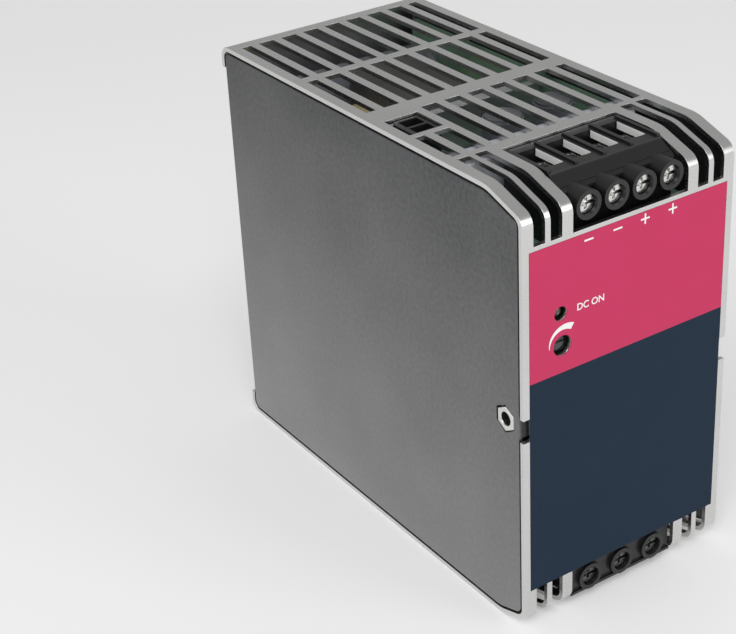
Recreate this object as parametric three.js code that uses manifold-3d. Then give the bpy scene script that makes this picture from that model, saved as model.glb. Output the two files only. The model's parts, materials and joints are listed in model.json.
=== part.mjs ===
// A 35 mm rail-mounted switch-mode power supply: a wrap-round ventilated metal cover, two flat side
// panels, screw terminals at the top and bottom of the front, and a spring-latched rail foot behind.
// Millimetres, +Z up. The front faces -Y; y is counted from the front face while the pieces are made,
// and the closing group moves the origin to the middle of the footprint, on the underside.
import * as THREE from "three";
import { mergeVertices } from "three/addons/utils/BufferGeometryUtils.js";
import Module from "manifold-3d";

const wasm = await Module();
wasm.setup();

// ---------------------------------------------------------------- driving dimensions
const FIT = 0.3; // gap between neighbouring pieces
const EPS = 0.05; // hair gap between stacked flat faces
const OVER = 2; // how far a cutter runs past the face it cuts
const WELD = 1e-4; // vertices closer than this are one

const CASE = { width: 60, height: 110, depth: 124, wall: 1.2, rearRadius: 3.5, rearLip: 6 };
const SHOULDER = { topRun: 12, topDrop: 4, bottomRun: 9, bottomRise: 3, radius: 3.6, bend: 12 };
const PANEL = { thickness: 1.2 };
const REAR = { thickness: 1.2 };

const GRILLE = {
  pitch: 6.68, // between the wide slots
  slot: 4.35,
  edgeSlot: 2.65, // the narrow slot at each side
  sideMargin: 2.8, // solid strip left along each side
  rearMargin: 6, // from the rear face to the first row
  frontBar: 3.5, // from the terminal opening to the front row
  thinBar: 2.8, // between the rear and the middle row
  wideBar: 5.1, // between the middle and the front row
  rearShare: 28.6, // the three rows share what the bars leave, in this proportion
  middleShare: 25.8,
  frontShare: 27.8,
};
const SHOULDER_SLOT = {
  width: 3.1,
  rib: 1.5,
  cheek: 2.95, // solid strip between the terminal opening and the first slot
  sideMargin: 2.9,
  barBehind: 1.8, // from the slots' rear ends to the front row of the grille
};
const SOCKET_WINDOW = { length: 10.3, setBack: 1.9, bar: 1.9 };
const NOTCH = { width: 2.4, height: 5.8, level: 54.4, depth: 3.4 };

const LABEL = { margin: 1.8, bottom: 10.7, topMargin: 12.2, thickness: 0.3 };

// margin: from the outer poles to the case opening; wall: from the front face to the moulding's front
// wall; bossReach: how far the screw bosses stand out of it; slopeDrop: how far the face above the
// bosses slopes down from the wire deck.
const OUTPUT = { poles: 4, pitch: 7.8, margin: 0.7, wall: 5.0, bossReach: 4.6, slopeDrop: 3.0 };
const INPUT = { poles: 3, pitch: 9.7, margin: 1.25, wall: CASE.wall + FIT, bossReach: 1.0, slopeDrop: 1.9 };
const TERMINAL = {
  axisDepth: 6.1, // from the case's outer face to the screw axis
  depth: 17.6, // height of the moulding
  deck: 0.7, // how far the wire deck lies below the case's outer face
  frontWall: 0.5, // between the output moulding's front face and its cage pockets
  rearWall: 4.1, // between the cage pockets and the moulding's back
  ledge: 8.6, // from the front face to the deck's front edge
  ledgeDrop: 0.9,
  bossRadius: 3.45,
  bossGap: 1.55, // from the bosses to the end of the opening in the front face
  entryWidth: 5.0,
  entryStart: 11.6,
  entryWall: 2.7, // between a wire entry and the moulding's back
  ribWidth: 0.9,
  ribHeight: 0.5,
  ribInset: 0.4, // from the deck's front edge to the ribs
  ribStop: 1, // from the ribs' far end to the moulding's back
  sideGap: 0.4, // to the case opening on each side
  undercut: 0.6, // how far the slope's foot overhangs the front wall
  brow: 0.7, // height of that overhang
  edgeRun: 0.5, // run of the chamfer on the deck's front edge
  pocketGap: 0.15,
};
const SCREW = {
  headRadius: 2.25,
  headHeight: 2,
  sunk: 1.1,
  shank: 1.5,
  slot: 0.7,
  slotDepth: 0.9,
  crossLength: 2.6,
  holeGap: 0.1,
};
const CAGE = { length: 10, height: 5.6, wall: 1.0, sideWall: 0.7, inner: 5.2, travel: 3.6 };
// grip: what is left between the contact and the cage's rear wall when the cage is fully raised.
const CONTACT = { thickness: 1.0, width: 4.4, grip: 1.0, top: 1.2, tail: 2.6, tailWidth: 1.6 };

const SOCKET = {
  width: 7.4,
  height: 13.5,
  top: 0.7,
  radius: 1.6,
  corner: 0.4,
  pocket: 3.6,
  pocketDepth: 8,
  web: 0.8,
  leftWall: 1.5,
  rightWall: 0.9,
};
// side and down: from the case's left face and from its top.
const LED = { side: 10.4, down: 29.4, radius: 1.5, hole: 1.75, length: 7.0, setBack: 0.9, flange: 0.35 };
const TRIMMER = { side: 10.9, down: 37.4, hole: 2.5, body: 6.6, depth: 4.6, setBack: 3.2, seat: 1.2 };
const ROTOR = { radius: 1.9, length: 2.2, slot: 0.6, slotDepth: 0.8, stem: 1.0, stemLength: 1.2 };
const NUT = { back: 6.4, z: 55, flats: 5.6, bore: 1.65, thickness: 2.8 };

// mainGap: from the case's right face to the main board. edge: from the case's inside to a board's edge.
const BOARD = {
  thickness: 1.6,
  mainGap: 4.8,
  edge: 3.2,
  mainStart: 30,
  rearGap: 7,
  sideGap: 0.4,
  front: 3.2,
  outputEnd: 60,
  inputEnd: 56,
};
const CONTROL_BOARD = { nutGap: 0.4, width: 19, above: 7.4, below: 12.6 };
const SHROUD = {
  gap: 1.8, // behind the terminal opening
  length: 10.4,
  top: 2.2,
  radius: 4,
  edge: 0.6,
  wall: 1.4,
  sideGap: 2.6,
  boardGap: 1,
};

// The wound parts fill the bay between the output heat sink and the bulk capacitors: each has its
// core's thickness and height, its windows' height, its coil's width and what its core leaves free.
const BAY_GAP = { front: 1.1, rear: 0.9 };
const TRANSFORMER = { thickness: 22, height: 36, windowHeight: 25, coil: 38, spare: 0, down: 26 };
const CHOKE = { thickness: 18, height: 30, windowHeight: 20, coil: 32, spare: 6, up: 23 };
const RING = { ring: 9.2, section: 4.2, boardGap: 4.4, y: 46, up: 14.5, sections: 24, sides: 10 };
const BULK_CAN = { radius: 8.6, leftGap: 8.1, rearGap: 1.3, down: [18, 40], groove: 0.6, crimp: 3 };
const OUTPUT_CAN = {
  radius: 5,
  height: 14,
  rim: 0.5,
  rimHeight: 0.6,
  y: 46,
  rightGap: 8.9,
  pitch: 15,
  count: 2,
};
const FUSE = { radius: 2.4, cap: 2.8, capLength: 5, length: 20, boardGap: 3.4, y: 52 };
const OUTPUT_SINK = {
  start: 62,
  thickness: 2.4,
  leftGap: 8,
  hang: 38.5, // below the output board
  topGap: 6,
  lip: 1,
  lipWidth: 22,
  lipGap: 4.9,
};
const INPUT_SINK = { thickness: 2.4, sideGap: 1.2, start: 67, rearGap: 3.9, bottom: 12, topGap: 9 };
const RECTIFIER = { width: 16, depth: 4.7, height: 18, up: 10, boardGap: 14.9 };
const TRANSISTOR = { thickness: 4.6, width: 14, height: 18, up: 28 };
const MOUNT_GAP = 0.2; // insulating pad between a heat sink and what is clamped to it
const INNER_BEND = 0.4; // least bend radius on the inside of a sheet

// 35 mm top-hat rail: down is from the case's top to the rail's middle; lip and slot shape the hooks.
const RAIL = { height: 35, down: 52, lip: 2.4, slot: 2.2 };
// Heights of the foot, latch, spring and screws are from the rail's middle, above or below it.
const FOOT = {
  width: 42,
  proud: 3,
  above: 31,
  below: 31,
  hookReach: 5,
  hookHeight: 5,
  hookWidth: 38,
  hookGap: 18,
  hookRoot: 1,
  strapInset: 12,
  strapDepth: 1.8,
};
const LATCH = {
  width: 20,
  thickness: 2.6,
  above: -10,
  below: 42,
  travel: 4.5,
  hook: 4.4,
  keyWidth: 8,
  keyHeight: 2.6,
  keyUp: 4,
};
const SPRING = {
  radius: 1.35,
  wire: 0.45,
  turns: 7,
  length: 9,
  below: 24,
  windowWidth: 4.6,
  tab: 1.8,
  floor: 0.8,
  tabStop: 0.5,
  stepsPerTurn: 12,
};
const FOOT_SCREW = {
  x: 15.5,
  above: 26.3,
  head: 2.8,
  headHeight: 1.6,
  shank: 1.4,
  length: 7.5,
  recess: 3.2,
  recessWidth: 0.7,
  recessDepth: 0.9,
};

// ---------------------------------------------------------------- worked-out values
const halfWidth = CASE.width / 2;
const footSeat = CASE.depth + FOOT.proud;
const totalDepth = footSeat + FOOT.hookReach;
const rearPlateFace = CASE.depth - CASE.wall - FIT;
const rearInside = rearPlateFace - REAR.thickness;
const labelZ = [LABEL.bottom, CASE.height - LABEL.topMargin];
const ledAt = [-halfWidth + LED.side, CASE.height - LED.down];
const trimmerAt = [-halfWidth + TRIMMER.side, CASE.height - TRIMMER.down];
const cageStart = OUTPUT.wall + TERMINAL.frontWall + CAGE.travel + FIT;
const raisedCageEnd = cageStart + CAGE.length - CAGE.wall - CAGE.travel;
const contactStart = raisedCageEnd - CONTACT.grip - CONTACT.thickness;
const pocketEnd = cageStart + CAGE.length + 2 * FIT;
const terminalBack = pocketEnd + TERMINAL.rearWall;
const openingDepth = terminalBack + FIT;
const openingHeight = TERMINAL.axisDepth + TERMINAL.bossRadius + TERMINAL.bossGap;
const openingWidth = (kind) => kind.poles * kind.pitch + 2 * kind.margin;
const row = gridRows();
// The bent cover is drawn as a front part and two grilles that meet face to face here.
const coverSeam = (row.shoulderEnd + row.front[0]) / 2;

// Where each row of slots starts and ends, counted from the front face.
function gridRows() {
  const frontStart = openingDepth + GRILLE.frontBar;
  const rearEnd = CASE.depth - GRILLE.rearMargin;
  const run = rearEnd - frontStart - GRILLE.thinBar - GRILLE.wideBar;
  const unit = run / (GRILLE.rearShare + GRILLE.middleShare + GRILLE.frontShare);
  const rearStart = rearEnd - GRILLE.rearShare * unit;
  const middleEnd = rearStart - GRILLE.thinBar;
  const middleStart = middleEnd - GRILLE.middleShare * unit;
  const frontEnd = middleStart - GRILLE.wideBar;
  const windowEnd = frontEnd - SOCKET_WINDOW.setBack;
  const windowStart = windowEnd - SOCKET_WINDOW.length;
  return {
    rear: [rearStart, rearEnd],
    middle: [middleStart, middleEnd],
    front: [frontStart, frontEnd],
    window: [windowStart, windowEnd],
    short: [frontStart, windowStart - SOCKET_WINDOW.bar],
    shoulderEnd: frontStart - SHOULDER_SLOT.barBehind,
  };
}

// ---------------------------------------------------------------- materials
const material = (color, roughness, metalness) =>
  new THREE.MeshStandardMaterial({ color, roughness, metalness });
const FINISH = {
  cover: () => material(0xbfc1c2, 0.34, 0.9),
  panel: () => material(0x616467, 0.5, 0.7),
  plate: () => material(0xa9acae, 0.45, 0.9),
  label: () => material(0xc83a62, 0.55, 0),
  terminal: () => material(0x1e1f21, 0.42, 0),
  screw: () => material(0xc9cbcd, 0.25, 1),
  brass: () => material(0xb9a06a, 0.35, 1),
  board: () => material(0x2c4a34, 0.55, 0),
  ferrite: () => material(0x2b2a2a, 0.6, 0),
  tape: () => material(0xa8894f, 0.5, 0),
  sleeve: () => material(0x23262b, 0.4, 0),
  aluminium: () => material(0xb4b7b9, 0.4, 0.95),
  copper: () => material(0x9a5a34, 0.35, 0.8),
  glass: () => material(0xd8d8cf, 0.2, 0),
  lens: () => material(0x8fae8a, 0.25, 0),
  ivory: () => material(0xc8cad4, 0.5, 0),
  spring: () => material(0x8f9294, 0.3, 1),
};

// ---------------------------------------------------------------- solids
function solid(geometry) {
  const bare = geometry.clone();
  for (const name of Object.keys(bare.attributes)) {
    if (name !== "position") {
      bare.deleteAttribute(name);
    }
  }
  const merged = mergeVertices(bare, WELD);
  return new wasm.Manifold(
    new wasm.Mesh({
      numProp: 3,
      vertProperties: merged.attributes.position.array,
      triVerts: new Uint32Array(merged.index.array),
    }),
  );
}

function box(x, y, z) {
  const geometry = new THREE.BoxGeometry(x[1] - x[0], y[1] - y[0], z[1] - z[0]);
  geometry.translate((x[0] + x[1]) / 2, (y[0] + y[1]) / 2, (z[0] + z[1]) / 2);
  return solid(geometry);
}

const around = (middle, size) => [middle - size / 2, middle + size / 2];

// A round bar along one axis between the two ends of its span; "at" is its place on the other axes.
function bar(axis, radius, span, at, sides = 24) {
  const geometry = new THREE.CylinderGeometry(radius, radius, span[1] - span[0], sides);
  if (axis === "x") {
    geometry.rotateZ(-Math.PI / 2);
  }
  if (axis === "z") {
    geometry.rotateX(Math.PI / 2);
  }
  const middle = (span[0] + span[1]) / 2;
  const place = { x: [middle, ...at], y: [at[0], middle, at[1]], z: [...at, middle] }[axis];
  geometry.translate(...place);
  return solid(geometry);
}

// Moves each edge of a closed outline inwards by the same distance. Corners are [u, v, radius].
function inset(corners, distance) {
  const count = corners.length;
  const edges = corners.map(([u, v], i) => {
    const [nextU, nextV] = corners[(i + 1) % count];
    const length = Math.hypot(nextU - u, nextV - v);
    const normal = [-(nextV - v) / length, (nextU - u) / length];
    return { normal, offset: normal[0] * u + normal[1] * v + distance };
  });
  return corners.map(([, , radius], i) => {
    const a = edges[(i + count - 1) % count];
    const b = edges[i];
    const det = a.normal[0] * b.normal[1] - a.normal[1] * b.normal[0];
    const u = (a.offset * b.normal[1] - b.offset * a.normal[1]) / det;
    const v = (a.normal[0] * b.offset - b.normal[0] * a.offset) / det;
    return [u, v, Math.max(radius - distance, Math.min(radius, INNER_BEND))];
  });
}

// A closed outline whose corners are rounded with true arcs, listed anticlockwise.
function roundedShape(corners) {
  const shape = new THREE.Shape();
  corners.forEach(([u, v, radius], i) => {
    const before = corners[(i + corners.length - 1) % corners.length];
    const after = corners[(i + 1) % corners.length];
    const inwards = new THREE.Vector2(before[0] - u, before[1] - v).normalize();
    const outwards = new THREE.Vector2(after[0] - u, after[1] - v).normalize();
    const half = Math.acos(THREE.MathUtils.clamp(inwards.dot(outwards), -1, 1)) / 2;
    const reach = radius / Math.tan(half);
    const start = new THREE.Vector2(u, v).addScaledVector(inwards, reach);
    const end = new THREE.Vector2(u, v).addScaledVector(outwards, reach);
    if (i === 0) {
      shape.moveTo(start.x, start.y);
    } else {
      shape.lineTo(start.x, start.y);
    }
    if (radius > 0) {
      const turn = inwards.cross(outwards);
      const centre = inwards.add(outwards).normalize().multiplyScalar(radius / Math.sin(half));
      centre.add(new THREE.Vector2(u, v));
      const from = Math.atan2(start.y - centre.y, start.x - centre.x);
      const to = Math.atan2(end.y - centre.y, end.x - centre.x);
      shape.absarc(centre.x, centre.y, radius, from, to, turn > 0);
    }
  });
  shape.closePath();
  return shape;
}

// Extrudes an outline drawn in y and z along x.
function alongX(shape, x, curveSegments = 5) {
  const depth = x[1] - x[0];
  const geometry = new THREE.ExtrudeGeometry(shape, { depth, bevelEnabled: false, curveSegments });
  geometry.rotateY(Math.PI / 2);
  geometry.rotateX(Math.PI / 2);
  geometry.translate(x[0], 0, 0);
  return solid(geometry);
}

// Extrudes an outline drawn in x and y along z.
function alongZ(shape, z, curveSegments = 5) {
  const depth = z[1] - z[0];
  const geometry = new THREE.ExtrudeGeometry(shape, { depth, bevelEnabled: false, curveSegments });
  geometry.translate(0, 0, z[0]);
  return solid(geometry);
}

const union = (parts) => parts.reduce((whole, part) => whole.add(part));
const cut = (whole, cutters) => cutters.reduce((left, cutter) => left.subtract(cutter), whole);

function mesh(name, shape, finish) {
  const made = shape.getMesh();
  const geometry = new THREE.BufferGeometry();
  geometry.setAttribute("position", new THREE.BufferAttribute(new Float32Array(made.vertProperties), 3));
  geometry.setIndex(new THREE.BufferAttribute(new Uint32Array(made.triVerts), 1));
  geometry.computeVertexNormals();
  const result = new THREE.Mesh(geometry, finish());
  result.name = name;
  return result;
}

// ---------------------------------------------------------------- case
// The case's outer outline seen from the side: a shoulder slopes down to the front at the top,
// a shorter one rises at the bottom, and both rear edges are rounded.
function caseOutline() {
  return [
    [0, SHOULDER.bottomRise, SHOULDER.radius],
    [SHOULDER.bottomRun, 0, SHOULDER.bend],
    [CASE.depth, 0, CASE.rearRadius],
    [CASE.depth, CASE.height, CASE.rearRadius],
    [SHOULDER.topRun, CASE.height, SHOULDER.bend],
    [0, CASE.height - SHOULDER.topDrop, SHOULDER.radius],
  ];
}

// As many wide columns as fit between the side strips and the two narrow edge slots.
function columnCentres() {
  const rib = GRILLE.pitch - GRILLE.slot;
  const reach = halfWidth - GRILLE.sideMargin - GRILLE.edgeSlot - rib - GRILLE.slot / 2;
  const count = Math.floor((2 * reach) / GRILLE.pitch + 1);
  return Array.from({ length: count }, (_, i) => (i - (count - 1) / 2) * GRILLE.pitch);
}

// Every slot of one grille row as [from, to] in x, the two narrow edge slots included.
function rowSlots() {
  const wide = columnCentres().map((centre) => around(centre, GRILLE.slot));
  const rib = GRILLE.pitch - GRILLE.slot;
  const outer = wide[wide.length - 1][1] + rib;
  const narrow = [outer, outer + GRILLE.edgeSlot];
  return [narrow.map((x) => -x).reverse(), ...wide, narrow];
}

// As many slots as fit on each side, between the terminal opening and the side strip.
function shoulderSlots(kind) {
  const first = openingWidth(kind) / 2 + SHOULDER_SLOT.cheek;
  const pitch = SHOULDER_SLOT.width + SHOULDER_SLOT.rib;
  const room = halfWidth - SHOULDER_SLOT.sideMargin - first + SHOULDER_SLOT.rib + EPS;
  const slots = Array.from({ length: Math.max(0, Math.floor(room / pitch)) }, (_, i) => [
    first + i * pitch,
    first + i * pitch + SHOULDER_SLOT.width,
  ]);
  return slots.flatMap((span) => [span, span.map((x) => -x).reverse()]);
}

function grilleCutters(z, windowed) {
  const slots = rowSlots();
  const whole = [row.rear, row.middle].flatMap((y) => slots.map((x) => box(x, y, z)));
  const front = slots.map((x, i) => box(x, windowed && i < 2 ? row.short : row.front, z));
  return [...whole, ...front];
}

function socketWindow() {
  const slots = rowSlots();
  return [slots[0][0], slots[1][1]];
}

function wrapCover() {
  const outline = caseOutline();
  const span = [-halfWidth, halfWidth];
  const shell = alongX(roundedShape(outline), span).subtract(
    alongX(roundedShape(inset(outline, CASE.wall)), [span[0] - OVER, span[1] + OVER]),
  );
  const past = [span[0] - OVER, span[1] + OVER];
  const lips = [CASE.rearLip, CASE.height - CASE.rearLip];
  const above = [CASE.height - openingHeight, CASE.height + OVER];
  const below = [-OVER, openingHeight];
  const roof = [CASE.height - CASE.wall - OVER, CASE.height + OVER];
  const floor = [-OVER, CASE.wall + OVER];
  const notch = around(NOTCH.level, NOTCH.height);
  return cut(shell, [
    box(past, [CASE.depth - CASE.wall - EPS, CASE.depth + OVER], lips),
    ...grilleCutters(roof, true),
    ...grilleCutters(floor, false),
    box(socketWindow(), row.window, roof),
    ...shoulderSlots(OUTPUT).map((x) => box(x, [-OVER, row.shoulderEnd], above)),
    ...shoulderSlots(INPUT).map((x) => box(x, [-OVER, row.shoulderEnd], below)),
    box(around(0, openingWidth(OUTPUT)), [-OVER, openingDepth], above),
    box(around(0, openingWidth(INPUT)), [-OVER, openingDepth], below),
    box([-halfWidth - OVER, -halfWidth + NOTCH.width], [-OVER, NOTCH.depth], notch),
    box([halfWidth - NOTCH.width, halfWidth + OVER], [-OVER, NOTCH.depth], notch),
    bar("y", LED.hole, [-OVER, CASE.wall + OVER], ledAt),
    bar("y", TRIMMER.hole, [-OVER, CASE.wall + OVER], trimmerAt),
    box(around(0, CASE.width - 2 * LABEL.margin), [-OVER, LABEL.thickness + EPS], labelZ),
  ]);
}

// The three parts of the cover: what lies before the seam, and the grilles above and below.
function coverParts() {
  const cover = wrapCover();
  const [behind, before] = cover.splitByPlane([0, 1, 0], coverSeam);
  const [upper, lower] = behind.splitByPlane([0, 0, 1], CASE.height / 2);
  return { front_cover: before, top_grille: upper, bottom_grille: lower };
}

// A flat sheet inside the cover's rim, with a folded ear that shows in the cover's front notch.
function sidePanel(side) {
  const outer = side * halfWidth;
  const inner = side * (halfWidth - PANEL.thickness);
  const x = [Math.min(outer, inner), Math.max(outer, inner)];
  const sheet = alongX(roundedShape(inset(caseOutline(), CASE.wall + FIT)), x);
  const earX = side * (halfWidth - NOTCH.width - PANEL.thickness);
  const earY = [CASE.wall + FIT, CASE.wall + FIT + PANEL.thickness];
  const earZ = around(NOTCH.level, NOTCH.height - 2 * FIT);
  const ear = box([Math.min(outer, earX), Math.max(outer, earX)], earY, earZ);
  const hole = hexPrism(NUT.flats + 2 * FIT, [-halfWidth - OVER, halfWidth + OVER]);
  return sheet.add(ear).subtract(hole);
}

function hexPrism(flats, x) {
  const radius = flats / Math.sqrt(3);
  return bar("x", radius, x, [NUT.back, NUT.z], 6);
}

function clinchNut(side) {
  const outer = side * halfWidth;
  const inner = side * (halfWidth - NUT.thickness);
  const x = [Math.min(outer, inner), Math.max(outer, inner)];
  const bore = bar("x", NUT.bore, [-halfWidth - OVER, halfWidth + OVER], [NUT.back, NUT.z], 20);
  return hexPrism(NUT.flats, x).subtract(bore);
}

function rearPlate() {
  const reach = halfWidth - PANEL.thickness - FIT;
  const inside = alongX(roundedShape(inset(caseOutline(), CASE.wall + FIT)), [-reach, reach]);
  const plate = inside.intersect(box([-halfWidth, halfWidth], [rearInside, CASE.depth], [0, CASE.height]));
  const through = [rearPlateFace - OVER, rearPlateFace + OVER];
  const holes = footScrewPlaces().map((at) => bar("y", FOOT_SCREW.shank + FIT / 2, through, at, 16));
  return cut(plate, holes);
}

function frontLabel() {
  const reach = halfWidth - LABEL.margin - EPS;
  const z = [labelZ[0] + EPS, labelZ[1] - EPS];
  return cut(box([-reach, reach], [0, LABEL.thickness], z), [
    bar("y", LED.hole, [-OVER, OVER], ledAt),
    bar("y", TRIMMER.hole, [-OVER, OVER], trimmerAt),
  ]);
}

// ---------------------------------------------------------------- terminals
// Terminal pieces are drawn for the top of the case, with h counted down from the case's outer face
// as negative z. The lower terminal is the same drawing turned over.
const poleCentres = (kind) =>
  Array.from({ length: kind.poles }, (_, i) => (i - (kind.poles - 1) / 2) * kind.pitch);

function terminalBody(kind) {
  const t = TERMINAL;
  const half = openingWidth(kind) / 2 - t.sideGap;
  const slopeFoot = kind.wall - t.undercut;
  const slopeEnd = -t.deck - kind.slopeDrop;
  const profile = new THREE.Shape(
    [
      [kind.wall, -t.depth],
      [terminalBack, -t.depth],
      [terminalBack, -t.deck],
      [t.ledge, -t.deck],
      [t.ledge - t.edgeRun, -t.deck - t.ledgeDrop],
      [slopeFoot, slopeEnd],
      [slopeFoot, slopeEnd - t.brow],
      [kind.wall, slopeEnd - t.brow],
    ].map(([y, z]) => new THREE.Vector2(y, z)),
  );
  const bosses = poleCentres(kind).map((x) => {
    const start = kind.wall - kind.bossReach;
    return bar("y", t.bossRadius, [start, kind.wall + OVER / 2], [x, -t.axisDepth], 28);
  });
  const body = union([alongX(profile, [-half, half]), ...bosses, ...dividerRibs(kind)]);
  return cut(body, poleCentres(kind).flatMap((x) => poleCutters(kind, x)));
}

function dividerRibs(kind) {
  const t = TERMINAL;
  const limit = openingWidth(kind) / 2 - t.sideGap - t.ribWidth / 2;
  const y = [t.ledge + t.ribInset, terminalBack - t.ribStop];
  const z = [-t.deck - OVER / 2, -t.deck + t.ribHeight];
  return Array.from({ length: kind.poles + 1 }, (_, i) => {
    const x = THREE.MathUtils.clamp((i - kind.poles / 2) * kind.pitch, -limit, limit);
    return box(around(x, t.ribWidth), y, z);
  });
}

function poleCutters(kind, x) {
  const t = TERMINAL;
  const front = kind.wall - kind.bossReach;
  const headEnd = front + SCREW.sunk + SCREW.headHeight + FIT;
  const pocketStart = cageStart - CAGE.travel - FIT;
  const pocketHalf = CAGE.inner / 2 + CAGE.sideWall + t.pocketGap;
  const cageTop = -t.axisDepth + CAGE.height / 2 + FIT;
  const through = [-t.depth - OVER, OVER];
  return [
    bar("y", SCREW.headRadius + FIT / 2, [front - OVER, headEnd], [x, -t.axisDepth], 24),
    bar("y", SCREW.shank + FIT / 2, [front, pocketStart + OVER / 2], [x, -t.axisDepth], 20),
    box([x - pocketHalf, x + pocketHalf], [pocketStart, pocketEnd], [-t.depth - OVER, cageTop]),
    box(around(x, t.entryWidth), [t.entryStart, terminalBack - t.entryWall], through),
  ];
}

// The pan head's face carries a straight slot crossed by a shorter one.
function clampScrew(kind) {
  const front = kind.wall - kind.bossReach + SCREW.sunk;
  const head = bar("y", SCREW.headRadius, [front, front + SCREW.headHeight], [0, 0], 24);
  const shank = bar("y", SCREW.shank, [front + OVER / 2, contactStart - 2 * FIT], [0, 0], 16);
  const depth = [front - OVER, front + SCREW.slotDepth];
  return cut(head.add(shank), [
    box(around(0, 2 * SCREW.headRadius + OVER), depth, around(0, SCREW.slot)),
    box(around(0, SCREW.slot), depth, around(0, SCREW.crossLength)),
  ]);
}

function clampCage() {
  const outer = CAGE.inner + 2 * CAGE.sideWall;
  const y = [cageStart, cageStart + CAGE.length];
  const z = around(0, CAGE.height);
  const tube = box(around(0, outer), y, z).subtract(
    box(around(0, CAGE.inner), [y[0] + CAGE.wall, y[1] - CAGE.wall], [z[0] - OVER, z[1] + OVER]),
  );
  const through = [y[0] - OVER, y[0] + CAGE.wall + OVER];
  return tube.subtract(bar("y", SCREW.shank + SCREW.holeGap, through, [0, 0], 20));
}

function contactBar() {
  const y = [contactStart, contactStart + CONTACT.thickness];
  const top = -CONTACT.top - TERMINAL.deck;
  const foot = -TERMINAL.depth;
  const blade = box(around(0, CONTACT.width), y, [foot, top]);
  return blade.add(box(around(0, CONTACT.tailWidth), y, [foot - CONTACT.tail, foot + OVER / 2]));
}

function terminalGroup(prefix, kind) {
  const group = new THREE.Group();
  group.add(mesh(prefix + "_terminal_body", terminalBody(kind), FINISH.terminal));
  poleCentres(kind).forEach((x, i) => {
    const screw = mesh(`${prefix}_screw_${i + 1}`, clampScrew(kind), FINISH.screw);
    const cage = mesh(`${prefix}_cage_${i + 1}`, clampCage(), FINISH.screw);
    const contact = mesh(`${prefix}_contact_${i + 1}`, contactBar(), FINISH.brass);
    screw.position.set(x, 0, -TERMINAL.axisDepth);
    cage.position.set(x, 0, -TERMINAL.axisDepth);
    contact.position.set(x, 0, 0);
    group.add(screw, cage, contact);
  });
  return group;
}

// ---------------------------------------------------------------- front controls
function signalSocket() {
  const window = socketWindow();
  const x = [window[1] - FIT - SOCKET.width, window[1] - FIT];
  const y = [row.window[0] + FIT, row.window[1] - FIT];
  const corners = [
    [x[0], y[0], SOCKET.radius],
    [x[1], y[0], SOCKET.corner],
    [x[1], y[1], SOCKET.corner],
    [x[0], y[1], SOCKET.radius],
  ];
  const top = CASE.height - SOCKET.top;
  const body = alongZ(roundedShape(corners), [top - SOCKET.height, top]);
  const middle = (y[0] + y[1]) / 2;
  const pocketX = [x[0] + SOCKET.leftWall, x[1] - SOCKET.rightWall];
  const pockets = [-1, 1].map((side) => {
    const centre = middle + (side * (SOCKET.pocket + SOCKET.web)) / 2;
    return box(pocketX, around(centre, SOCKET.pocket), [top - SOCKET.pocketDepth, top + OVER]);
  });
  return cut(body, pockets);
}

function statusLed() {
  const y = [LED.setBack + LED.radius, LED.setBack + LED.length];
  const stem = bar("y", LED.radius, y, ledAt, 20);
  const dome = new THREE.SphereGeometry(LED.radius, 20, 10);
  dome.translate(ledAt[0], y[0], ledAt[1]);
  const flange = bar("y", LED.radius + LED.flange, [y[1] - OVER / 2, y[1]], ledAt, 20);
  return union([stem, solid(dome), flange]);
}

function trimmerBody() {
  const y = [TRIMMER.setBack, TRIMMER.setBack + TRIMMER.depth];
  const body = box(around(trimmerAt[0], TRIMMER.body), y, around(trimmerAt[1], TRIMMER.body));
  const seat = bar("y", ROTOR.radius + FIT, [y[0] - OVER, y[0] + TRIMMER.seat], trimmerAt);
  const holeY = [y[0], y[0] + TRIMMER.seat + ROTOR.stemLength];
  return cut(body, [seat, bar("y", ROTOR.stem + FIT / 2, holeY, trimmerAt, 16)]);
}

function trimmerRotor() {
  const back = TRIMMER.setBack + TRIMMER.seat - FIT;
  const y = [back - ROTOR.length, back];
  const disc = bar("y", ROTOR.radius, y, trimmerAt);
  const stem = bar("y", ROTOR.stem, [back - OVER / 4, back + ROTOR.stemLength], trimmerAt, 16);
  const slot = box(
    around(trimmerAt[0], 2 * ROTOR.radius + OVER),
    [y[0] - OVER, y[0] + ROTOR.slotDepth],
    around(trimmerAt[1], ROTOR.slot),
  );
  return disc.add(stem).subtract(slot);
}

// ---------------------------------------------------------------- boards and components
const mainX = halfWidth - BOARD.mainGap;
const mainFace = mainX - FIT;
const outputBoardTop = CASE.height - TERMINAL.depth - FIT;
const inputBoardBottom = TERMINAL.depth + FIT;
const sinkSide = -halfWidth + PANEL.thickness + INPUT_SINK.sideGap;
const sinkX = [sinkSide, sinkSide + INPUT_SINK.thickness];
const bulkCanY = rearInside - BULK_CAN.rearGap - BULK_CAN.radius;
const outputSinkBottom = outputBoardTop - BOARD.thickness - OUTPUT_SINK.hang;
const outputSinkEnd = OUTPUT_SINK.start + OUTPUT_SINK.thickness + OUTPUT_SINK.lip;
const bay = [outputSinkEnd + BAY_GAP.front, bulkCanY - BULK_CAN.radius - BAY_GAP.rear];
const ringZ = inputBoardBottom + BOARD.thickness + RING.up;
const aboveRing = ringZ + RING.ring + RING.section + FIT;

function mainBoard() {
  const z = [CASE.wall + BOARD.edge, CASE.height - CASE.wall - BOARD.edge];
  return box([mainX, mainX + BOARD.thickness], [BOARD.mainStart, CASE.depth - BOARD.rearGap], z);
}

// A board behind a terminal, slotted where the terminal's solder tails come through.
function terminalBoard(kind, z, end) {
  const left = -halfWidth + PANEL.thickness + BOARD.sideGap;
  const board = box([left, mainFace], [BOARD.front, end], z);
  const y = [contactStart - FIT, contactStart + CONTACT.thickness + FIT];
  const through = [z[0] - OVER, z[1] + OVER];
  const tails = poleCentres(kind).map((x) => box(around(x, CONTACT.tailWidth + 2 * FIT), y, through));
  return cut(board, tails);
}

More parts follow.
